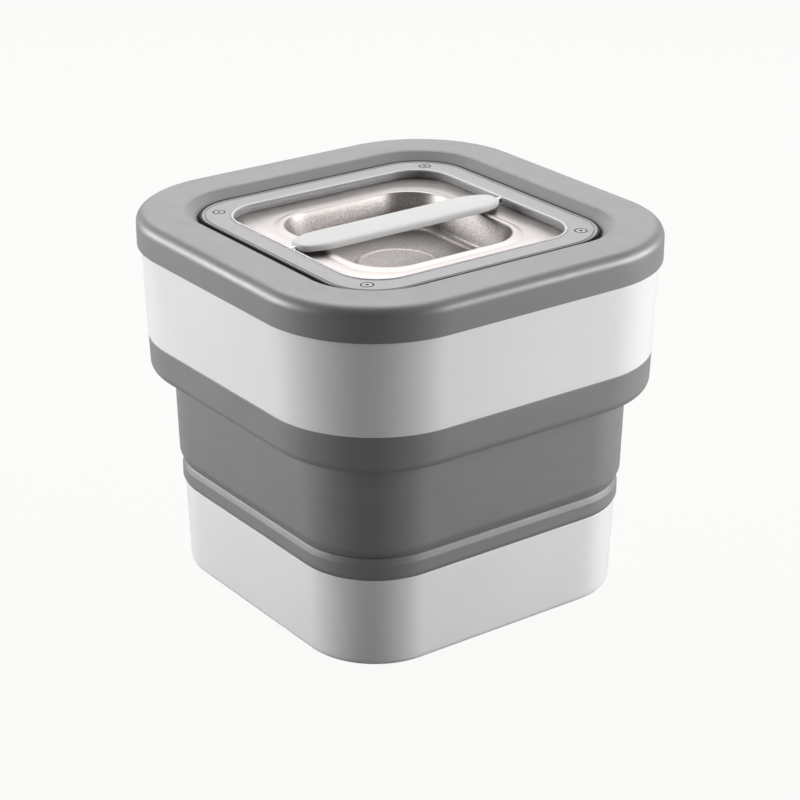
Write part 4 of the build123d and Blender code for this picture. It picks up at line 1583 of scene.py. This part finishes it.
@dataclass
class Works:
    """Fittings of the base and the lid, and the drive between the base and the pulsator."""

    finishes: Finishes

    def outside(self) -> list[Fitting]:
        """Fittings that show from outside.

        Returns:
            The fittings.
        """
        f = self.finishes
        return [
            Fitting("bottom_cover", f.black, "black_plastic"),
            Fitting("feet", f.rubber, "seal_rubber"),
            Fitting("cover_screws", f.steel, "screw_steel"),
            Fitting("tub_floor", f.matte, "white_matte"),
            Fitting("pulsator", f.pulsator, "pulsator_grey"),
            Fitting("pulsator_cap", f.pulsator, "pulsator_grey"),
            Fitting("button_bezel", f.grey, "grey_satin"),
            Fitting("indicator_ring", f.light, "light_ring"),
            Fitting("start_button", f.white, "button_white"),
            Fitting("power_inlet", f.black, "black_plastic"),
            Fitting("drain_fitting", f.grey, "grey_satin"),
            Fitting("drain_plug", f.rubber, "seal_rubber"),
            Fitting("band_clamp_ring", f.matte, "white_matte"),
            Fitting("lid_frame", f.frame, "frame_silver"),
            Fitting("lid_seal", f.rubber, "seal_rubber"),
            Fitting("lid_standoffs", f.black, "black_plastic"),
            Fitting("lid_screws", f.steel, "screw_steel"),
            Fitting("handle_pins", f.pin, "screw_steel"),
        ]

    def inside(self) -> list[Inner]:
        """Parts in the motor room.

        Returns:
            The parts.
        """
        f = self.finishes
        return [
            Inner("motor_bracket", f.bracket),
            Inner("bracket_screws", f.steel),
            Inner("motor_can", f.bracket),
            Inner("motor_shaft", f.steel),
            Inner("pinion", f.brass),
            Inner("drive_gear", f.gear),
            Inner("drive_shaft", f.steel),
            Inner("lower_bush", f.brass),
            Inner("upper_bush", f.brass),
            Inner("shaft_seal", f.rubber),
            Inner("control_board", f.board),
            Inner("drain_gasket", f.rubber),
        ]

    def build(self) -> list[bpy.types.Object]:
        """Dresses every fitting and every part inside.

        Returns:
            The objects.
        """
        return [part.build() for part in (*self.outside(), *self.inside())]


# ---- the studio --------------------------------------------------------------------


def heading(azimuth: float, elevation: float) -> Vector:
    """Direction from the tub: azimuth turns from -Y towards +X, both in degrees."""
    a, e = math.radians(azimuth), math.radians(elevation)
    return Vector((math.sin(a) * math.cos(e), -math.cos(a) * math.cos(e), math.sin(e)))


def aimed(name: str, data: bpy.types.ID, place: Sequence[float], way: Vector) -> bpy.types.Object:
    """Lamp or camera that stands at a place and looks back along a direction.

    Args:
        name: Its name.
        data: The lamp's or the camera's settings.
        place: Where it stands, in metres.
        way: Direction from what it looks at.

    Returns:
        The object, linked to the scene.
    """
    made = placed(name, data)
    made.location = place
    made.rotation_mode = "QUATERNION"
    made.rotation_quaternion = way.to_track_quat("Z", "Y")
    return made


@dataclass(frozen=True)
class Panel:
    """Soft rectangular lamp that looks at the tub's middle."""

    name: str
    azimuth: float
    elevation: float
    size: tuple[float, float]
    power: float
    distance: float = 1.7
    middle: float = 0.13

    def build(self) -> bpy.types.Object:
        """Makes the lamp.

        Returns:
            The lamp, linked to the scene.
        """
        data = bpy.data.lights.new(self.name, "AREA")
        data.shape, data.size, data.size_y = "RECTANGLE", self.size[0], self.size[1]
        data.energy = self.power
        way = heading(self.azimuth, self.elevation)
        return aimed(self.name, data, Vector((0, 0, self.middle)) + way * self.distance, way)


@dataclass
class Studio:
    """White sweep, soft panels and the camera."""

    azimuth: float = 53.96
    elevation: float = 23.34
    lens: float = 105.57
    sensor: float = 36.0
    clip: tuple[float, float] = (0.05, 60.0)
    place: tuple[float, float, float] = (1.16736, -0.84771, 0.74672)
    front_light: float = 0.05
    back_light: float = 0.2
    gloss_light: float = 0.72  # what glossy parts see behind the tub
    turn: tuple[float, float] = (-0.5, 0.6)  # towards the camera, where back turns into front light
    floor_colour: float = 0.35
    floor_white: tuple[float, float, float, float] = (1, 1, 0.985, 1)
    floor_glow: float = 0.94  # share of the floor's white that the camera sees past its shadow
    floor_rings: tuple[float, float, int] = (20.0, 9000.0, 40)  # first, last and how many, in mm
    floor_steps: int = 48

    def camera(self) -> bpy.types.Object:
        """Camera at a three-quarter view from above, aimed by its azimuth and elevation.

        Returns:
            The camera.
        """
        data = bpy.data.cameras.new("camera")
        data.sensor_width, data.lens = self.sensor, self.lens
        data.clip_start, data.clip_end = self.clip
        camera = aimed("camera", data, self.place, heading(self.azimuth, self.elevation))
        bpy.context.scene.camera = camera
        return camera

    def floor(self) -> bpy.types.Object:
        """Round pale floor that shows white to the camera and still takes a faint shadow.

        Returns:
            The floor.
        """
        radius = np.linspace(*self.floor_rings)
        section = np.stack([radius, np.zeros_like(radius)], 1)
        grid = turned(section, self.floor_steps)
        piece = facing_up(sheet_mesh("studio_floor", grid, poles=(0,)))
        bench = Bench("floor_white")
        bench.set(Base_Color=(*(self.floor_colour,) * 3, 1), Roughness=0.9)
        paths = bench.node("ShaderNodeLightPath")
        glow = bench.node("ShaderNodeEmission", Color=self.floor_white, Strength=1.0)
        both = bench.node("ShaderNodeMixShader")
        share = bench.math("MULTIPLY", paths.outputs["Is Camera Ray"], self.floor_glow)
        for source, target in zip((share, bench.shader.outputs[0], glow.outputs[0]), both.inputs):
            bench.link(source, target)
        bench.link(both.outputs[0], bench.out.inputs[0])
        piece.data.materials.append(bench.material)
        return piece

    def world(self) -> bpy.types.World:
        """Pale surroundings, brighter behind the tub, that show white past it and in clear parts.

        Returns:
            The world.
        """
        world = bpy.data.worlds.new("studio")
        bpy.context.scene.world = world
        world.use_nodes = True
        wiring = Wiring(world.node_tree)
        facing = wiring.node("ShaderNodeVectorMath")
        facing.operation = "DOT_PRODUCT"
        facing.inputs[1].default_value = heading(self.azimuth, 0.0)
        wiring.link(wiring.node("ShaderNodeTexCoord").outputs["Generated"], facing.inputs[0])
        around = wiring.between(
            facing.outputs["Value"], self.back_light, self.front_light, self.turn, "SMOOTHSTEP"
        )
        ray = wiring.node("ShaderNodeLightPath").outputs
        gain = self.gloss_light / self.back_light
        gloss = wiring.between(ray["Is Glossy Ray"], 1.0, gain, UNIT_ENDS)
        lit = wiring.math("MULTIPLY", around, gloss)
        seen = wiring.math("MAXIMUM", ray["Is Camera Ray"], ray["Is Transmission Ray"])
        background = world.node_tree.nodes["Background"]
        background.inputs["Color"].default_value = (1, 1, 1, 1)
        wiring.link(wiring.between(seen, lit, 1.0, UNIT_ENDS), background.inputs["Strength"])
        return world

    def panels(self) -> list[Panel]:
        """Lamps: a soft box and a weaker one on each side, and three behind that rise over the tub.

        Returns:
            The lamps to build.
        """
        return [
            Panel("left_panel", -46, 12, (1.5, 0.8), 34, 2.1),
            Panel("left_fill", -25, 13, (0.9, 0.7), 6.5),
            Panel("right_fill", 130, 13, (0.9, 0.7), 9),
            Panel("right_panel", 148, 12, (1.5, 0.8), 35, 2.1),
            Panel("rear_panel", 236, 20, (1.6, 0.8), 3.4),
            Panel("back_panel", 234, 42, (1.6, 0.7), 6.5),
            Panel("top_panel", 234, 65, (1.4, 1.2), 12.5),
        ]

    def build(self) -> None:
        """Makes the camera, the floor, the surroundings and the lamps."""
        bpy.context.scene.view_settings.view_transform = "Standard"
        self.camera()
        self.floor()
        self.world()
        for panel in self.panels():
            panel.build()


def main() -> None:
    """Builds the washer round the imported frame, and its studio."""
    logging.basicConfig(level=logging.INFO, format="%(name)s: %(message)s")
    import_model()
    Studio().build()
    flange = Extent.of("lid_cover").low[2] * MM - FLANGE_SKIN
    finishes = Finishes.make(flange, Extent.of("lid_liner").low[2] * MM + LINER_SHEET)
    for group in (Tub(finishes), Lid(finishes), Works(finishes)):
        for piece in group.build():
            faces = len(piece.data.polygons)
            LOG.info("%s made %s with %d faces", type(group).__name__, piece.name, faces)


if __name__ == "__main__":
    main()
